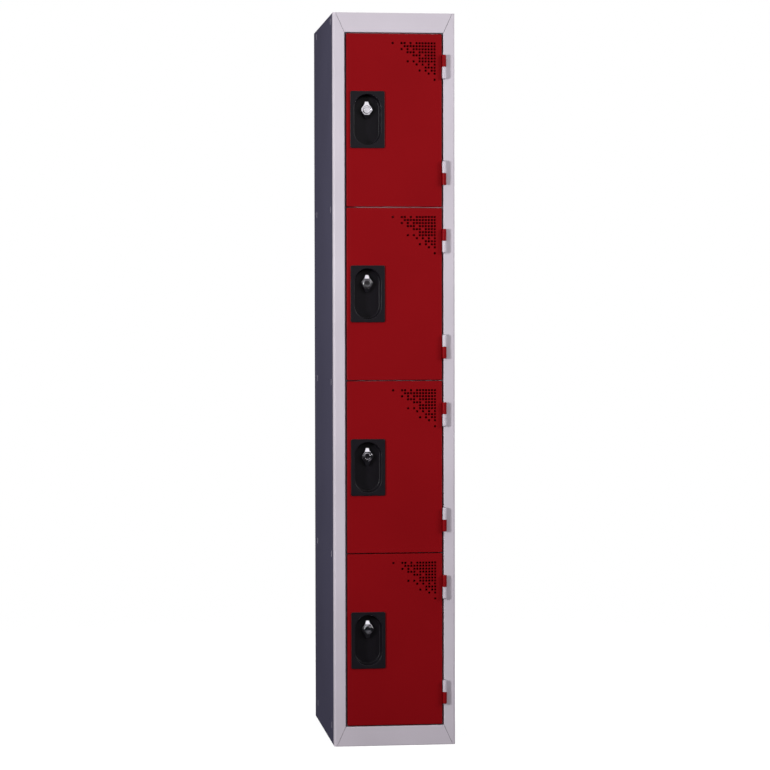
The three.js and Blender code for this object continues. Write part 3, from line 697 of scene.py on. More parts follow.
    def _boolean(self, operation: str, others: Iterable["Form"]) -> "Form":
        """Runs Boolean modifiers on the form and gives the result."""
        base = new_object("base", self.to_mesh("base"))
        tools = [new_object("tool", other.to_mesh("tool")) for other in others]
        for tool in tools:
            modifier = base.modifiers.new("shape", "BOOLEAN")
            modifier.operation = operation
            modifier.solver = "EXACT"
            modifier.object = tool
        bpy.context.view_layer.update()
        result = bpy.data.meshes.new_from_object(base.evaluated_get(bpy.context.evaluated_depsgraph_get()))
        made = Form()
        made.shape.from_mesh(result)
        bmesh.ops.dissolve_limit(
            made.shape,
            angle_limit=FLAT_ANGLE,
            verts=made.shape.verts,
            edges=made.shape.edges,
            use_dissolve_boundaries=False,
        )
        used = [base.data, result, *(tool.data for tool in tools)]
        for thing in (base, *tools):
            bpy.data.objects.remove(thing)
        for mesh in used:
            bpy.data.meshes.remove(mesh)
        return made.outward()

    def show(self, name: str, node: str, up: float = 0.0) -> None:
        """Shows the form as the piece that stands for a CAD node.

        Args:
            name: The piece's name.
            node: The node, which gives the piece its body and its finish.
            up: How far it is lifted first.
        """
        mesh = self.to_mesh(name)
        mesh.transform(Matrix.Scale(MM, 4) @ Matrix.Translation((0, FRAME_FACE, up)))
        mesh.shade_smooth()
        mesh.set_sharp_from_angle(angle=SHARP_ANGLE)
        piece = new_object(name, mesh)
        even = piece.modifiers.new("even_shading", "WEIGHTED_NORMAL")
        even.keep_sharp = True
        even.weight = 100
        finish = FINISH_OF_NODE[node]
        finish.dress(piece)
        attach(piece, BODY_OF_NODE[node])
        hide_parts(node)
        finish.slot
        log.info("%s stands for %s: %d faces", name, node, len(mesh.polygons))

    def show_in_doors(self, name: str, node: str, closer: float = 0.0) -> None:
        """Shows the form once for every door.

        Args:
            name: The pieces' name, with the door's number left open.
            node: The nodes' name, likewise.
            closer: How much nearer each next piece stands than the pitch says.
        """
        middle = (DOOR_NUMBERS[0] + DOOR_NUMBERS[-1]) / 2
        for number in DOOR_NUMBERS:
            drawn_in = closer * (number - middle)
            self.show(name.format(number), node.format(number), door_height(number) + drawn_in)


def arc(centre: Point, radius: float, start: float, end: float, steps: int = 16) -> list[Point]:
    """Gives points along an arc, from one angle to another in degrees."""
    angles = [math.radians(start + (end - start) * step / steps) for step in range(steps + 1)]
    return [(centre[0] + radius * math.cos(angle), centre[1] + radius * math.sin(angle)) for angle in angles]


@dataclass
class FrontFrame:
    """The front frame: stiles and rails of folded sheet, mitred, with a door stop flange all round."""

    half_width: float = 150.0
    height: float = 1800.0
    sheet: float = 1.5
    depth: float = 22.0
    stile_face: float = 28.0
    rail_face: float = 48.0
    stile_round: float = 5.0
    bend: float = 1.7
    stop_bend: float = 1.0
    stile_stop: float = 17.0
    rail_stop: float = 12.0
    rail_return: float = 23.3
    mitre_set_in: float = 6.0
    gap: float = 0.3
    mitre_gap: float = 0.9
    overrun: float = 3.0

    def build(self) -> None:
        """Makes and shows the four profiles."""
        stile = self.stile()
        stile.show("stile_right", "frame_stile_right")
        stile.mirrored().show("stile_left", "frame_stile_left")
        rail = self.rail()
        rail.show("rail_bottom", "frame_rail_bottom")
        rail.mirrored(UPSIDE_DOWN).moved(up=self.height).show("rail_top", "frame_rail_top")

    @property
    def inner(self) -> float:
        """Half the width of the opening between the stiles."""
        return self.half_width - self.stile_face

    def mitre(self, inward: float, shift: float) -> Point:
        """Gives a point of the lower right mitre's line, some way in from the frame's outer edge."""
        outer = self.half_width - self.mitre_set_in
        return outer + (self.inner - outer) * inward / self.rail_face + shift, inward

    def stile(self) -> Form:
        """Folds the right stile and mitres both its ends."""
        stop_face = self.depth - self.sheet
        path = [
            (self.half_width, self.depth),
            (self.half_width, 0),
            (self.inner, 0),
            (self.inner, stop_face),
            (self.inner - self.stile_stop, stop_face),
        ]
        radii = (self.stile_round, self.bend, self.stop_bend)
        profile = Form.sheet(path, Axis.Z, (0, self.height), radii, self.sheet, (1, 0))
        top = self.rail_face + self.gap
        middle_side = self.inner - self.stile_stop - self.overrun
        waste = Form.prism([
            self.mitre(-self.overrun, self.mitre_gap / 2),
            (self.mitre(self.rail_face, self.mitre_gap / 2)[0], top),
            (middle_side, top),
            (middle_side, -self.overrun),
        ], Axis.Y, -self.overrun, self.depth + self.overrun)
        return profile.cut(waste, waste.mirrored(UPSIDE_DOWN).moved(up=self.height))

    def rail(self) -> Form:
        """Folds the bottom rail; its outer return runs on behind the stiles' faces."""
        stop_face = self.depth - self.sheet
        path = [
            (self.rail_return, 0),
            (0, 0),
            (0, self.rail_face),
            (stop_face, self.rail_face),
            (stop_face, self.rail_face + self.rail_stop),
        ]
        half = self.half_width - self.stile_round
        radii = (self.bend, self.bend, self.stop_bend)
        profile = Form.sheet(path, Axis.X, (-half, half), radii, self.sheet, (0, -1))
        behind_face = self.sheet + self.gap
        wastes = [
            self._rail_waste(-self.overrun, -self.overrun, behind_face),
            self._rail_waste(self.sheet, behind_face, self.rail_return + self.overrun),
        ]
        return profile.cut(*wastes, *(waste.mirrored() for waste in wastes))

    def _rail_waste(self, start: float, front: float, back: float) -> Form:
        """Makes what the mitre takes off the rail's right end, from some way in and between two depths."""
        top = self.rail_face + self.rail_stop + self.overrun
        stop_end = self.inner - self.stile_stop - self.gap
        return Form.prism([
            self.mitre(start, -self.mitre_gap / 2),
            self.mitre(self.rail_face, -self.mitre_gap / 2),
            (stop_end, self.rail_face),
            (stop_end, top),
            (self.half_width + self.overrun, top),
            (self.half_width + self.overrun, start),
        ], Axis.Y, front, back)


@dataclass
class Shell:
    """The sides, the back and the five trays: base, three shelves and roof."""

    half_width: float = 150.0
    height: float = 1800.0
    depth: float = 500.0
    sheet: float = 1.0
    bend: float = 2.0
    side_front: float = 22.3
    front_flange: float = 34.0
    back_flange: float = 20.0
    foot_flange: float = 20.0
    foot_upstand: float = 12.0
    foot_start: float = 24.6
    rail_room: float = 1.8
    tray_half: float = 148.7
    tray_front: float = 23.6
    tray_back: float = 497.4
    tray_flange: float = 20.0
    roof_flange: float = 28.0
    roof_tab_drop: float = 8.0
    shelf_tab_drop: float = 2.0
    deck_above_level: float = 5.0
    tab_half: float = 4.0
    tab_height: float = 15.0
    tab_places: Point = (68.0, 432.0)
    tab_reach: float = 149.7
    gap: float = 0.3
    hole_place: float = 132.0
    hole_drop: float = 2.5
    hole_radius: float = 2.5
    nose_half_width: float = 101.0
    nose_half: float = 0.8
    nose_front: float = 22.0
    nose_round: float = 0.7
    nose_facets: int = 4
    back_half: float = 147.7
    back_front: float = 497.7
    back_low: float = 1.3
    wall_hole: float = 4.0
    wall_hole_half: float = 100.0
    wall_hole_drop: float = 90.0
    overrun: float = 3.0

    def build(self) -> None:
        """Makes and shows every sheet behind the front frame."""
        side = self.side()
        side.show("side_sheet_right", "side_panel_right")
        side.mirrored().show("side_sheet_left", "side_panel_left")
        self.back().show("back_sheet", "back_panel")
        base = level(0) + self.deck_above_level
        self.tray(base, self.tray_flange, base - self.shelf_tab_drop).show("base_tray", "base_panel")
        roof = self.tray(self.height, self.roof_flange, self.height - self.roof_tab_drop)
        roof.show("roof_tray", "roof_panel")
        shelf = self.shelf()
        for number in DOOR_NUMBERS[:-1]:
            shelf.show(f"shelf_tray_{number}", f"shelf_{number}", level(len(DOOR_NUMBERS) - number))

    def tab_tops(self) -> list[float]:
        """Gives the height of the tabs' top edge for each tray."""
        above = self.deck_above_level - self.shelf_tab_drop
        trays = [level(index) + above for index in range(len(DOOR_NUMBERS))]
        return trays + [self.height - self.roof_tab_drop]

    def tab(self, place: float, top: float, inner: float, outer: float, margin: float = 0.0) -> Form:
        """Makes one tab, or with a margin the slot that it stands in."""
        low = (inner, place - self.tab_half - margin, top - self.tab_height - margin)
        return Form.box(low, (outer, place + self.tab_half + margin, top + margin))

    def side(self) -> Form:
        """Folds the right side, with its foot, its slots and its holes."""
        flange_edge = self.half_width - self.front_flange
        sheet = Form.sheet([
            (flange_edge, self.side_front),
            (self.half_width, self.side_front),
            (self.half_width, self.depth),
            (self.half_width - self.back_flange, self.depth),
        ], Axis.Z, (0, self.height), (self.bend, self.bend), self.sheet, (0, -1))
        foot = Form.sheet([
            (self.half_width, self.foot_upstand),
            (self.half_width, 0),
            (self.half_width - self.foot_flange, 0),
        ], Axis.Y, (self.foot_start, self.tray_back), (self.bend,), self.sheet, (1, 0))
        wastes = Form()
        inner, outer = self.tray_half - self.overrun, self.half_width + self.overrun
        for top in self.tab_tops():
            wastes.with_loose(*(self.tab(place, top, inner, outer, self.gap) for place in self.tab_places))
            hole = Form.rod(self.hole_radius, inner, outer, Axis.X)
            wastes.with_loose(hole.moved(back=self.hole_place, up=top - self.hole_drop))
        over = self.height + self.overrun
        for low, high in ((-self.overrun, self.rail_room), (self.height - self.rail_room, over)):
            start = (flange_edge - self.overrun, self.side_front - self.overrun, low)
            wastes.with_loose(Form.box(start, (self.half_width - self.sheet, self.tray_front, high)))
        return sheet.joined(foot).cut(wastes)

    def back(self) -> Form:
        """Makes the back with its two wall holes."""
        back_face = self.back_front + self.sheet
        sheet = Form.box(
            (-self.back_half, self.back_front, self.back_low),
            (self.back_half, back_face, self.height - self.gap),
        )
        start, end = self.back_front - self.overrun, back_face + self.overrun
        hole = Form.rod(self.wall_hole, start, end, Axis.Y)
        hole.moved(across=self.wall_hole_half, up=self.height - self.wall_hole_drop)
        return sheet.cut(hole, hole.mirrored())

    def tray(self, deck_top: float, flange: float, tab_top: float) -> Form:
        """Folds a tray with its four tabs."""
        notch = self.bend
        moves = {side: [(notch, 0, 0), (0, flange, 0)] for side in WAYS_OUT}
        low = (-self.tray_half + notch, self.tray_front + notch)
        high = (self.tray_half - notch, self.tray_back - notch)
        deck = Form.pan(low, high, moves, self.bend, self.sheet).moved(up=deck_top)
        inner = self.tray_half - self.sheet / 2
        tabs = [self.tab(place, tab_top, inner, self.tab_reach) for place in self.tab_places]
        return deck.joined(*tabs, *(tab.mirrored() for tab in tabs))

    def shelf(self) -> Form:
        """Folds a shelf about its own level, with the hemmed nose that shows between two doors."""
        top = self.deck_above_level
        nose = Form.box(
            (-self.nose_half_width, self.nose_front, -self.nose_half),
            (self.nose_half_width, self.tray_front + self.sheet / 2, self.nose_half),
        ).soften(self.nose_round, self.nose_facets)
        return self.tray(top, self.tray_flange, top - self.shelf_tab_drop).joined(nose)


@dataclass
class DoorPan:
    """A door's folded pan, with its field of square vents and the opening for the cup."""

    left: float = -117.2
    right: float = 118.0
    half_height: float = 211.4
    closer: float = 0.8
    depth: float = 19.5
    side_lip: float = 15.0
    end_lip: float = 10.0
    sheet: float = 1.0
    bend: float = 1.5
    notch: float = 1.5
    vent_rows: tuple[str, ...] = (
        "X..XX.X.XXXXXXX",
        "....XXXXXXXXXXX",
        "...X.X.XXXXXXXX",
        ".....XXX.XXXXXX",
        ".......XXX.XXXX",
        ".........XXXXXX",
        ".....X.X.XXXXXX",
        "........X.X.X.X",
        "...........XXXX",
        ".........X.X.XX",
        "............X.X",
        "...............",
        "..............X",
    )
    vent: float = 5.0
    vent_pitch: float = 7.42
    vent_from_edge: float = 17.5
    vent_from_top: float = 22.6
    hole_half_width: float = 35.5
    hole_half_height: float = 65.9
    hole_facets: int = 16
    overrun: float = 3.0

    def build(self) -> None:
        """Makes the pan once and shows it in every doorway, a little nearer to the column's middle."""
        self.pan().show_in_doors("door_{}_pan", "door_{}_panel", self.closer)

    def pan(self) -> Form:
        """Folds the pan and cuts it."""
        notch = self.notch
        lips = (self.end_lip, self.side_lip, self.end_lip, self.side_lip)
        moves = {
            way: [(notch, 0, 0), (0, self.depth, 0), (-lip, 0, lip)]
            for way, lip in zip(WAYS_OUT, lips)
        }
        low = (self.left + notch, notch - self.half_height)
        high = (self.right - notch, self.half_height - notch)
        folded = Form.pan(low, high, moves, self.bend, self.sheet).turned_about("X", 90)
        wide = self.hole_half_width
        hole = Form.slab(wide, self.hole_half_height, wide, -self.overrun, self.hole_facets)
        hole.grow([(0, 2 * self.overrun + self.sheet)]).moved(across=CUP_PLACE)
        return folded.cut(self.vents(), hole)

    def vents(self) -> Form:
        """Makes what the punch takes out for the vents."""
        punched = Form()
        half = self.vent / 2
        for down, row in enumerate(self.vent_rows):
            height = self.half_height - self.vent_from_top - self.vent_pitch * down
            for column, mark in enumerate(reversed(row)):
                if mark == "X":
                    across = self.right - self.vent_from_edge - self.vent_pitch * column
                    low = (across - half, -self.overrun, height - half)
                    high = (across + half, self.sheet + self.overrun, height + half)
                    punched.with_loose(Form.box(low, high))
        return punched


@dataclass
class HandleCup:
    """The moulded cup that the fingers pull the door by, with the lock in its upper half."""

    half_width: float = 42.25
    half_height: float = 69.75
    corner: float = 4.0
    plate: float = 2.3
    plate_edge: float = 0.8
    seat_gap: float = 0.3
    recess_half_width: float = 33.0
    recess_half_height: float = 62.0
    lip: float = 1.2
    draft: float = 1.5
    wall: float = 2.0
    round_start: float = 18.0
    floor: float = 22.0
    back: float = 24.5
    floor_round: float = 4.0
    floor_bend: float = 2.0
    lock_hole: float = 8.3
    clip_half_length: float = 6.0
    clip_half_spacing: float = 35.0
    clip_reach: float = 1.8
    clip_rise: float = 5.0
    clip_front: float = 1.3
    corner_facets: int = 8
    recess_facets: int = 20
    edge_facets: int = 5
    lip_facets: int = 6
    bend_facets: int = 8
    overrun: float = 3.0

    def build(self) -> None:
        """Makes the cup once and shows it in every door."""
        self.cup().moved(across=CUP_PLACE).show_in_doors("door_{}_cup", "door_{}_handle_cup")

    def cup(self) -> Form:
        """Joins plate, body and clips, and cuts the recess and the lock's hole."""
        start, end = self.floor - self.overrun, self.back + self.overrun
        hole = Form.rod(self.lock_hole, start, end, Axis.Y).moved(up=LOCK_RISE)
        return self._plate().joined(self._body(), *self._clips()).cut(self._recess(), hole)

    def _plate(self) -> Form:
        """Makes the flat plate, with a rounded front edge."""
        straight = self.plate - self.plate_edge
        turn = arc((0, 0), self.plate_edge, 0, 90, self.edge_facets)
        edge = [(self.plate_edge - across, straight + up) for across, up in turn]
        plate = Form.slab(self.half_width, self.half_height, self.corner, 0, self.corner_facets)
        plate.grow([(0, straight), *edge[1:]])
        return plate.mirrored((1, -1, 1)).moved(back=-self.seat_gap)

    def _body(self) -> Form:
        """Makes the outside of the cup's body."""
        front = -self.seat_gap - self.plate / 2
        deep = self.round_start - front
        rest = self.back - self.round_start
        bend = arc((0, 0), 1, 0, 90, self.bend_facets)
        curve = [(self.draft + self.floor_round * (1 - across), deep + rest * up) for across, up in bend]
        half_width, half_height = self.recess_half_width + self.wall, self.recess_half_height + self.wall
        face = Form.slab(half_width, half_height, half_width, front, self.recess_facets)
        return face.grow([(0, self.wall), *curve])

    def _recess(self) -> Form:
        """Makes what the recess takes out, from its rolled lip to its rounded floor."""
        face = -self.seat_gap - self.plate
        turn = arc((0, 0), 1, 0, 90, self.lip_facets)
        lip = [(self.lip * up, self.overrun + self.lip * (1 - across)) for across, up in turn]
        inset, deep = self.lip + self.draft, self.overrun + self.floor - self.floor_bend - face
        bend = arc((0, 0), self.floor_bend, 0, 90, self.bend_facets)
        curve = [(inset + self.floor_bend - across, deep + up) for across, up in bend]
        half_width, half_height = self.recess_half_width + self.lip, self.recess_half_height + self.lip
        mouth = Form.slab(half_width, half_height, half_width, face - self.overrun, self.recess_facets)
        return mouth.grow([*lip, *curve])

    def _clips(self) -> list[Form]:
        """Makes the four wedges that snap in behind the door's skin."""
        half_width = self.recess_half_width + self.wall
        root, back = half_width - self.wall / 2, self.clip_front + self.clip_rise
        point = (half_width + self.clip_reach, self.clip_front)
        wedge = [(root, self.clip_front), point, (half_width, back), (root, back)]
        clip = Form.prism(wedge, Axis.Z, -self.clip_half_length, self.clip_half_length)
        pair = [clip.copy().moved(up=self.clip_half_spacing * end) for end in (-1, 1)]
        return pair + [clip.mirrored() for clip in pair]


@dataclass
class TurnLock:
    """A cylinder lock: knob with spindle, fixed housing, nut and cranked cam."""

    tip_half_width: float = 15.25
    tip_half_height: float = 21.75
    blunt_half_width: float = 3.6
    blunt_half_height: float = 3.5
    knob_back: float = 20.1
    skirt: float = 3.4
    slope: float = 3.2
    crown_side: Point = (13.0, 3.0)
    crown_tip: Point = (6.0, 12.7)
    knob_edge: float = 0.3
    boss: float = 9.8
    boss_front: float = 10.1
    boss_back: float = 14.3
    groove_width: float = 0.8
    boss_edge: float = 0.9
    plug: float = 6.2
    plug_set_back: float = 0.8
    keyway_half: Point = (0.9, 3.75)
    keyway_depth: float = 3.0
    spindle: float = 4.0
    spindle_end: float = 31.3
    square_half: float = 2.8
    head: float = 4.6
    head_front: float = 33.9
    head_thickness: float = 1.2
    housing_bore: float = 4.3
    flange: float = 11.5
    flange_front: float = 20.4
    flange_back: float = 21.7
    barrel: float = 8.0
    barrel_end: float = 31.0
    nut_across: float = 22.0
    nut_front: float = 24.8
    nut_height: float = 4.0
    nut_bore: float = 8.3
    cam_path: tuple[Point, ...] = ((31.6, -9.0), (31.6, 33.08), (24.3, 39.08), (24.3, 48.25))
    cam_radii: Point = (1.5, 3.5)
    cam_sheet: float = 2.0
    cam_hub: float = 9.0
    cam_half_width: float = 7.0
    cam_hole_half: float = 3.1
    cam_facets: int = 28
    facets: int = 64
    shallow: float = 30.0
    facet_turn: float = 12.0
    core_edge: float = 0.22
    head_edge: float = 0.35
    housing_edge: float = 0.2
    nut_edge: float = 0.4
    nut_turn: float = 50.0
    root: float = 1.0
    overrun: float = 3.0

    def build(self) -> None:
        """Makes each of the lock's pieces once and shows it in every door."""
        pieces = {"knob": self.knob(), "housing": self.housing(), "nut": self.nut(), "cam": self.cam()}
        for name, form in pieces.items():
            form.moved(across=CUP_PLACE, up=LOCK_RISE)
            form.show_in_doors(f"door_{{}}_{name}", f"door_{{}}_lock_{name}")

    def knob(self) -> Form:
        """Makes the lozenge knob with its boss, keyway, spindle, square and peened head."""
        square = Form.box(
            (-self.square_half, self.spindle_end - self.root, -self.square_half),
            (self.square_half, self.head_front + self.head_thickness / 2, self.square_half),
        )
        core = Form.turned([
            (0, self.boss_front + self.plug_set_back),
            (self.plug, self.boss_front + self.plug_set_back),
            (self.plug, self.boss_front),
            (self.boss - self.boss_edge, self.boss_front),
            (self.boss, self.boss_front + self.boss_edge),
            (self.boss, self.knob_back),
            (self.spindle, self.knob_back),
            (self.spindle, self.spindle_end),
            (0, self.spindle_end),
        ], Axis.Y, self.facets).soften(self.core_edge, 2, self.shallow)
        head = Form.rod(self.head, self.head_front, self.head_front + self.head_thickness, Axis.Y)
        head.soften(self.head_edge)
        inner, outer = self.boss, self.boss + self.groove_width
        low, high = self.boss_back - self.overrun, self.boss_back
        ring = [(inner, low), (outer, low), (outer, high), (inner, high), (inner, low)]
        groove = Form.turned(ring, Axis.Y, self.facets)
        across, up = self.keyway_half
        keyway = Form.box(
            (-across, self.boss_front - self.overrun, -up),
            (across, self.boss_front + self.plug_set_back + self.keyway_depth, up),
        )
        return self._lozenge().cut(groove).joined(core, square, head).cut(keyway)

    def _lozenge(self) -> Form:
        """Makes the lozenge, whose faces slope forward from a straight skirt."""
        wide, high = self.tip_half_width, self.tip_half_height
        blunt_x, blunt_z = self.blunt_half_width, self.blunt_half_height
        quarter = [(wide, blunt_z), (blunt_x, high)]
        right = [(wide, -blunt_z), *quarter, (-blunt_x, high)]
        outline = right + [(-x, -z) for x, z in right]
        form = Form.prism(outline, Axis.Y, self.knob_back - self.skirt, self.knob_back)
        shape = form.shape
        front = min(shape.faces, key=lambda face: face.calc_center_median().y)
        ends = new_verts(bmesh.ops.extrude_face_region(shape, geom=[front]))
        bmesh.ops.delete(shape, geom=[front], context="FACES_ONLY")
        for end in ends:
            across, up = self.crown_side if abs(end.co.x) > abs(end.co.z) else self.crown_tip
            end.co = (math.copysign(across, end.co.x), end.co.y - self.slope, math.copysign(up, end.co.z))
        return form.outward().soften(self.knob_edge, 3, self.facet_turn)

    def housing(self) -> Form:
        """Makes the flange in the recess and the threaded tube through the cup's floor."""
        return Form.turned([
            (self.housing_bore, self.flange_front),
            (self.flange, self.flange_front),
            (self.flange, self.flange_back),
            (self.barrel, self.flange_back),
            (self.barrel, self.barrel_end),
            (self.housing_bore, self.barrel_end),
            (self.housing_bore, self.flange_front),
        ], Axis.Y, self.facets).soften(self.housing_edge)

    def nut(self) -> Form:
        """Makes the hexagon nut behind the cup."""
        back = self.nut_front + self.nut_height
        corners = arc((0, 0), self.nut_across / math.sqrt(3), 0, 300, 5)
        hexagon = Form.prism(corners, Axis.Y, self.nut_front, back)
        bore = Form.rod(self.nut_bore, self.nut_front - self.overrun, back + self.overrun, Axis.Y)
        return hexagon.soften(self.nut_edge, 2, self.nut_turn).cut(bore)

    def cam(self) -> Form:
        """Folds the cranked cam, cuts its round ends and punches its square hole."""
        hub, half = self.cam_hub, self.cam_half_width
        strip = Form.sheet(self.cam_path, Axis.X, (-hub, hub), self.cam_radii, self.cam_sheet, (-1, 0))
        shoulder = math.degrees(math.acos(half / hub))
        tip = arc((0, self.cam_path[-1][1] - half), half, 0, 180)
        plan = tip + arc((0, 0), hub, 180 - shoulder, 360 + shoulder, self.cam_facets)
        front = self.cam_path[-1][0] - self.overrun
        back = self.cam_path[0][0] + self.cam_sheet + self.overrun
        hole = self.cam_hole_half
        punch = Form.box((-hole, front, -hole), (hole, back, hole))
        return strip.met(Form.prism(plan, Axis.Y, front, back)).cut(punch)


@dataclass
class Hinges:
    """Two hinges to a door: a red half and a grey half on one pin, each with its leaf."""

    across: float = 123.3
    forward: float = -5.6
    from_middle: float = 130.0
    barrel: float = 5.0
    length: float = 29.0
    half_gap: float = 0.25
    taper: float = 1.2
    taper_length: float = 2.4
    bore: float = 3.1
    door_bore: float = 21.85
    leaf_back: float = 20.6
    leaf_sheet: float = 1.6
    door_leaf: float = -5.0
    frame_leaf: float = -3.2
    pin: float = 2.8
    pin_low: float = -30.55
    pin_high: float = 21.25
    pin_round: float = 0.9
    pin_edge: float = 0.3
    pin_facets: int = 32
    shallow: float = 30.0
    edge: float = 0.25
    facets: int = 40
    overrun: float = 1.0

    def build(self) -> None:
        """Makes each half and the pin once, and shows them in upper and lower hinges."""
        halves = {
            "door_half": ("door_{}_knuckle", self.door_half()),
            "frame_half": ("frame_knuckle_{}", self.frame_half()),
            "pin": ("hinge_pin_{}", self.hinge_pin()),
        }
        for end, way in (("top", 1), ("bottom", -1)):
            for name, (node, form) in halves.items():
                placed = form.mirrored(UPSIDE_DOWN) if way < 0 else form.copy()
                placed.moved(self.across, self.forward, way * self.from_middle)
                placed.show_in_doors(f"hinge_{{}}_{end}_{name}", f"{node}_{end}")

    def _leaf(self, left: float, low: float, high: float) -> Form:
        """Makes a leaf, back from the barrel into the gap between door and frame."""
        return Form.box((left, 0, low), (left + self.leaf_sheet, self.leaf_back, high)).soften(self.edge)

    def door_half(self) -> Form:
        """Makes the door's half of an upper hinge, closed at its top."""
        low, high = self.half_gap, self.half_gap + self.length
        barrel = Form.turned([
            (0, low),
            (self.barrel, low),
            (self.barrel, high - self.taper_length),
            (self.barrel - self.taper, high),
            (0, high),
        ], Axis.Z, self.facets).soften(self.edge)
        hole = Form.rod(self.bore, low - self.overrun, self.door_bore, Axis.Z)
        return barrel.joined(self._leaf(self.door_leaf, low, high)).cut(hole)

    def frame_half(self) -> Form:
        """Makes the frame's half of an upper hinge, bored through."""
        low, high = -self.half_gap - self.length, -self.half_gap
        barrel = Form.turned([
            (0, low),
            (self.barrel - self.taper, low),
            (self.barrel, low + self.taper_length),
            (self.barrel, high),
            (0, high),
        ], Axis.Z, self.facets).soften(self.edge)
        hole = Form.rod(self.bore, low - self.overrun, high + self.overrun, Axis.Z)
        return barrel.joined(self._leaf(self.frame_leaf, low, high)).cut(hole)

    def hinge_pin(self) -> Form:
        """Makes the pin of an upper hinge, whose rounded tip shows below the frame's half."""
        return Form.turned([
            (0, self.pin_low),
            (self.pin - self.pin_round, self.pin_low),
            (self.pin, self.pin_low + self.pin_round),
            (self.pin, self.pin_high),
            (0, self.pin_high),
        ], Axis.Z, self.pin_facets).soften(self.pin_edge, 2, self.shallow)


@dataclass
class PhotoCamera:
    """The photograph's camera, fitted to the locker's edges and door gaps in the picture."""

    place: Point3 = (-0.7856, -6.5693, 1.0738)
    yaw: float = 6.8709
    pitch: float = 1.6583
    roll: float = -0.0999
    lens: float = 121.36
    sensor: float = 36.0

    def build(self) -> None:
        """Makes the camera and looks through it. Angles are in degrees: right, down, and in the picture."""
        data = bpy.data.cameras.new("photo_camera")
        data.sensor_width = self.sensor
        data.lens = self.lens
        camera = new_object("photo_camera", data)
        yaw = Matrix.Rotation(-math.radians(self.yaw), 4, "Z")
        pitch = Matrix.Rotation(math.radians(90 - self.pitch), 4, "X")
        roll = Matrix.Rotation(math.radians(self.roll), 4, "Z")
        camera.matrix_world = Matrix.Translation(self.place) @ yaw @ pitch @ roll
        bpy.context.scene.camera = camera


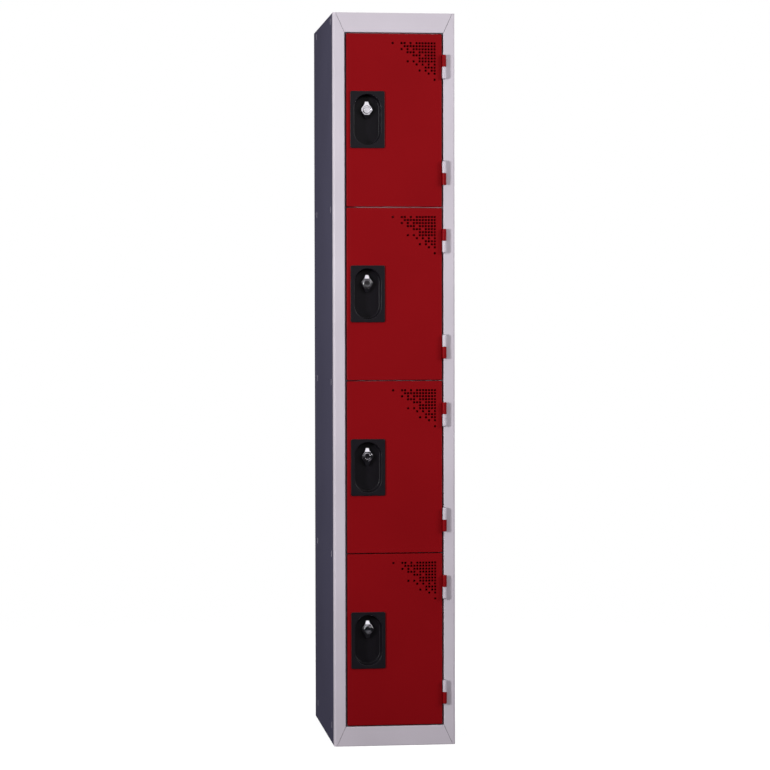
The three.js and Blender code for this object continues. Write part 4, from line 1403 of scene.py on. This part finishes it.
@dataclass
class Studio:
    """Two soft lamps in front of the locker, the air round it and a white floor."""

    key_place: Point3 = (3.44, -2.66, 2.4)
    key_aim: Point3 = (0.0, -0.2, 2.0)
    key_size: float = 1.7
    key_power: float = 28.5
    fill_place: Point3 = (-3.44, -2.66, 1.3)
    fill_aim: Point3 = (0.0, -0.2, 1.3)
    fill_size: float = 0.6
    fill_power: float = 34.5
    spread: float = 90.0
    air_before: float = 0.25
    air_behind: float = 0.85
    gleam_low: float = 0.015
    gleam_high: float = 1.0
    gleam_tilt: float = 0.35
    gleam_edge: Point = (0.39, 0.43)
    behind_range: Point = (0.0, 0.6)
    above_range: Point = (0.45, 0.85)
    floor_drop: float = 0.4 * MM
    floor_reach: float = 14.0
    floor_bounce: Colour = (0.125, 0.098, 0.13, 1.0)
    floor_gleam: Colour = (0.012, 0.012, 0.014, 1.0)
    shadow_share: float = 0.35
    shadow_near: float = 0.6
    shadow_far: float = 2.6
    floor_glow: float = 0.16

    def build(self) -> None:
        """Sets the colour handling, and makes the lamps, the air and the floor."""
        bpy.context.scene.view_settings.view_transform = "Standard"
        self._lamp("key_lamp", self.key_place, self.key_aim, self.key_size, self.key_power)
        self._lamp("fill_lamp", self.fill_place, self.fill_aim, self.fill_size, self.fill_power)
        self._air()
        self._floor()

    def _lamp(self, name: str, place: Point3, aim: Point3, size: float, power: float) -> None:
        """Makes one square soft lamp that faces the locker."""
        data = bpy.data.lights.new(name, "AREA")
        data.shape = "SQUARE"
        data.size = size
        data.energy = power
        data.spread = math.radians(self.spread)
        lamp = new_object(name, data)
        lamp.location = place
        lamp.rotation_euler = (Vector(aim) - Vector(place)).to_track_quat("-Z", "Y").to_euler()

    def _air(self) -> None:
        """Makes the world: white to the camera, to shiny faces white only above, else a soft light."""
        world = bpy.data.worlds.new("studio_air")
        bpy.context.scene.world = world
        graph = Graph(world)
        direction = graph.value("ShaderNodeTexCoord", {}, {}, "Generated")
        depth = graph.value("ShaderNodeSeparateXYZ", {}, {"Vector": direction}, "Y")
        height = graph.value("ShaderNodeSeparateXYZ", {}, {"Vector": direction}, "Z")
        above = graph.steps(height - self.gleam_tilt * depth, *self.gleam_edge)
        gleam = self.gleam_low + (self.gleam_high - self.gleam_low) * above
        path = "ShaderNodeLightPath"
        shiny = graph.value(path, {}, {}, "Is Glossy Ray")
        seen = graph.larger(
            graph.value(path, {}, {}, "Is Camera Ray"),
            graph.value(path, {}, {}, "Is Transmission Ray"),
        )
        behind = graph.steps(depth, *self.behind_range)
        wide = graph.larger(behind, graph.steps(height, *self.above_range))
        air = self.air_before + (self.air_behind - self.air_before) * wide
        dim = shiny * gleam + (1 - shiny) * air
        strength = seen + (1 - seen) * dim
        graph.surface(graph.value("ShaderNodeBackground", {}, {"Color": WHITE, "Strength": strength}))

    def _floor(self) -> None:
        """Makes the floor: to the camera it is white with a soft shadow, to the locker a dim bounce."""
        shape = bmesh.new()
        bmesh.ops.create_grid(shape, x_segments=1, y_segments=1, size=self.floor_reach)
        bmesh.ops.translate(shape, verts=shape.verts, vec=(0, 0, -self.floor_drop))
        mesh = bpy.data.meshes.new("studio_floor")
        shape.to_mesh(mesh)
        shape.free()
        floor = new_object("studio_floor", mesh)
        made = bpy.data.materials.new("studio_floor_paint")
        graph = Graph(made)
        seen = graph.value("ShaderNodeLightPath", {}, {}, "Is Camera Ray")
        where = graph.value("ShaderNodeTexCoord", {}, {}, "Object")
        away = graph.value("ShaderNodeVectorMath", {"operation": "LENGTH"}, {0: where}, "Value")
        near = 1 - graph.steps(away, self.shadow_near, self.shadow_far)
        clear = graph.value("ShaderNodeBsdfTransparent", {}, {})
        paint = graph.value("ShaderNodeBsdfDiffuse", {}, {"Color": WHITE})
        glow = graph.value("ShaderNodeEmission", {}, {"Color": WHITE, "Strength": near * self.floor_glow})
        shiny = graph.value("ShaderNodeLightPath", {}, {}, "Is Glossy Ray")
        bounce = graph.blend(shiny, self.floor_bounce, self.floor_gleam)
        dim = graph.value("ShaderNodeBsdfDiffuse", {}, {"Color": bounce})
        pale = graph.value("ShaderNodeMixShader", {}, {0: near * self.shadow_share, 1: clear, 2: paint})
        shown = graph.value("ShaderNodeAddShader", {}, {0: pale, 1: glow})
        graph.surface(graph.value("ShaderNodeMixShader", {}, {0: seen, 1: dim, 2: shown}))
        mesh.materials.append(made)


def dress_nodes() -> None:
    """Gives every CAD node its finish."""
    for node, finish in FINISH_OF_NODE.items():
        finish.dress(frame["nodes"][node])


def main() -> None:
    """Builds the camera, the studio and the locker's pieces in order."""
    logging.basicConfig(level=logging.INFO, format="%(name)s: %(message)s")
    PhotoCamera().build()
    Studio().build()
    dress_nodes()
    for part in (FrontFrame(), Shell(), DoorPan(), HandleCup(), TurnLock(), Hinges()):
        part.build()


if __name__ == "__main__":
    main()
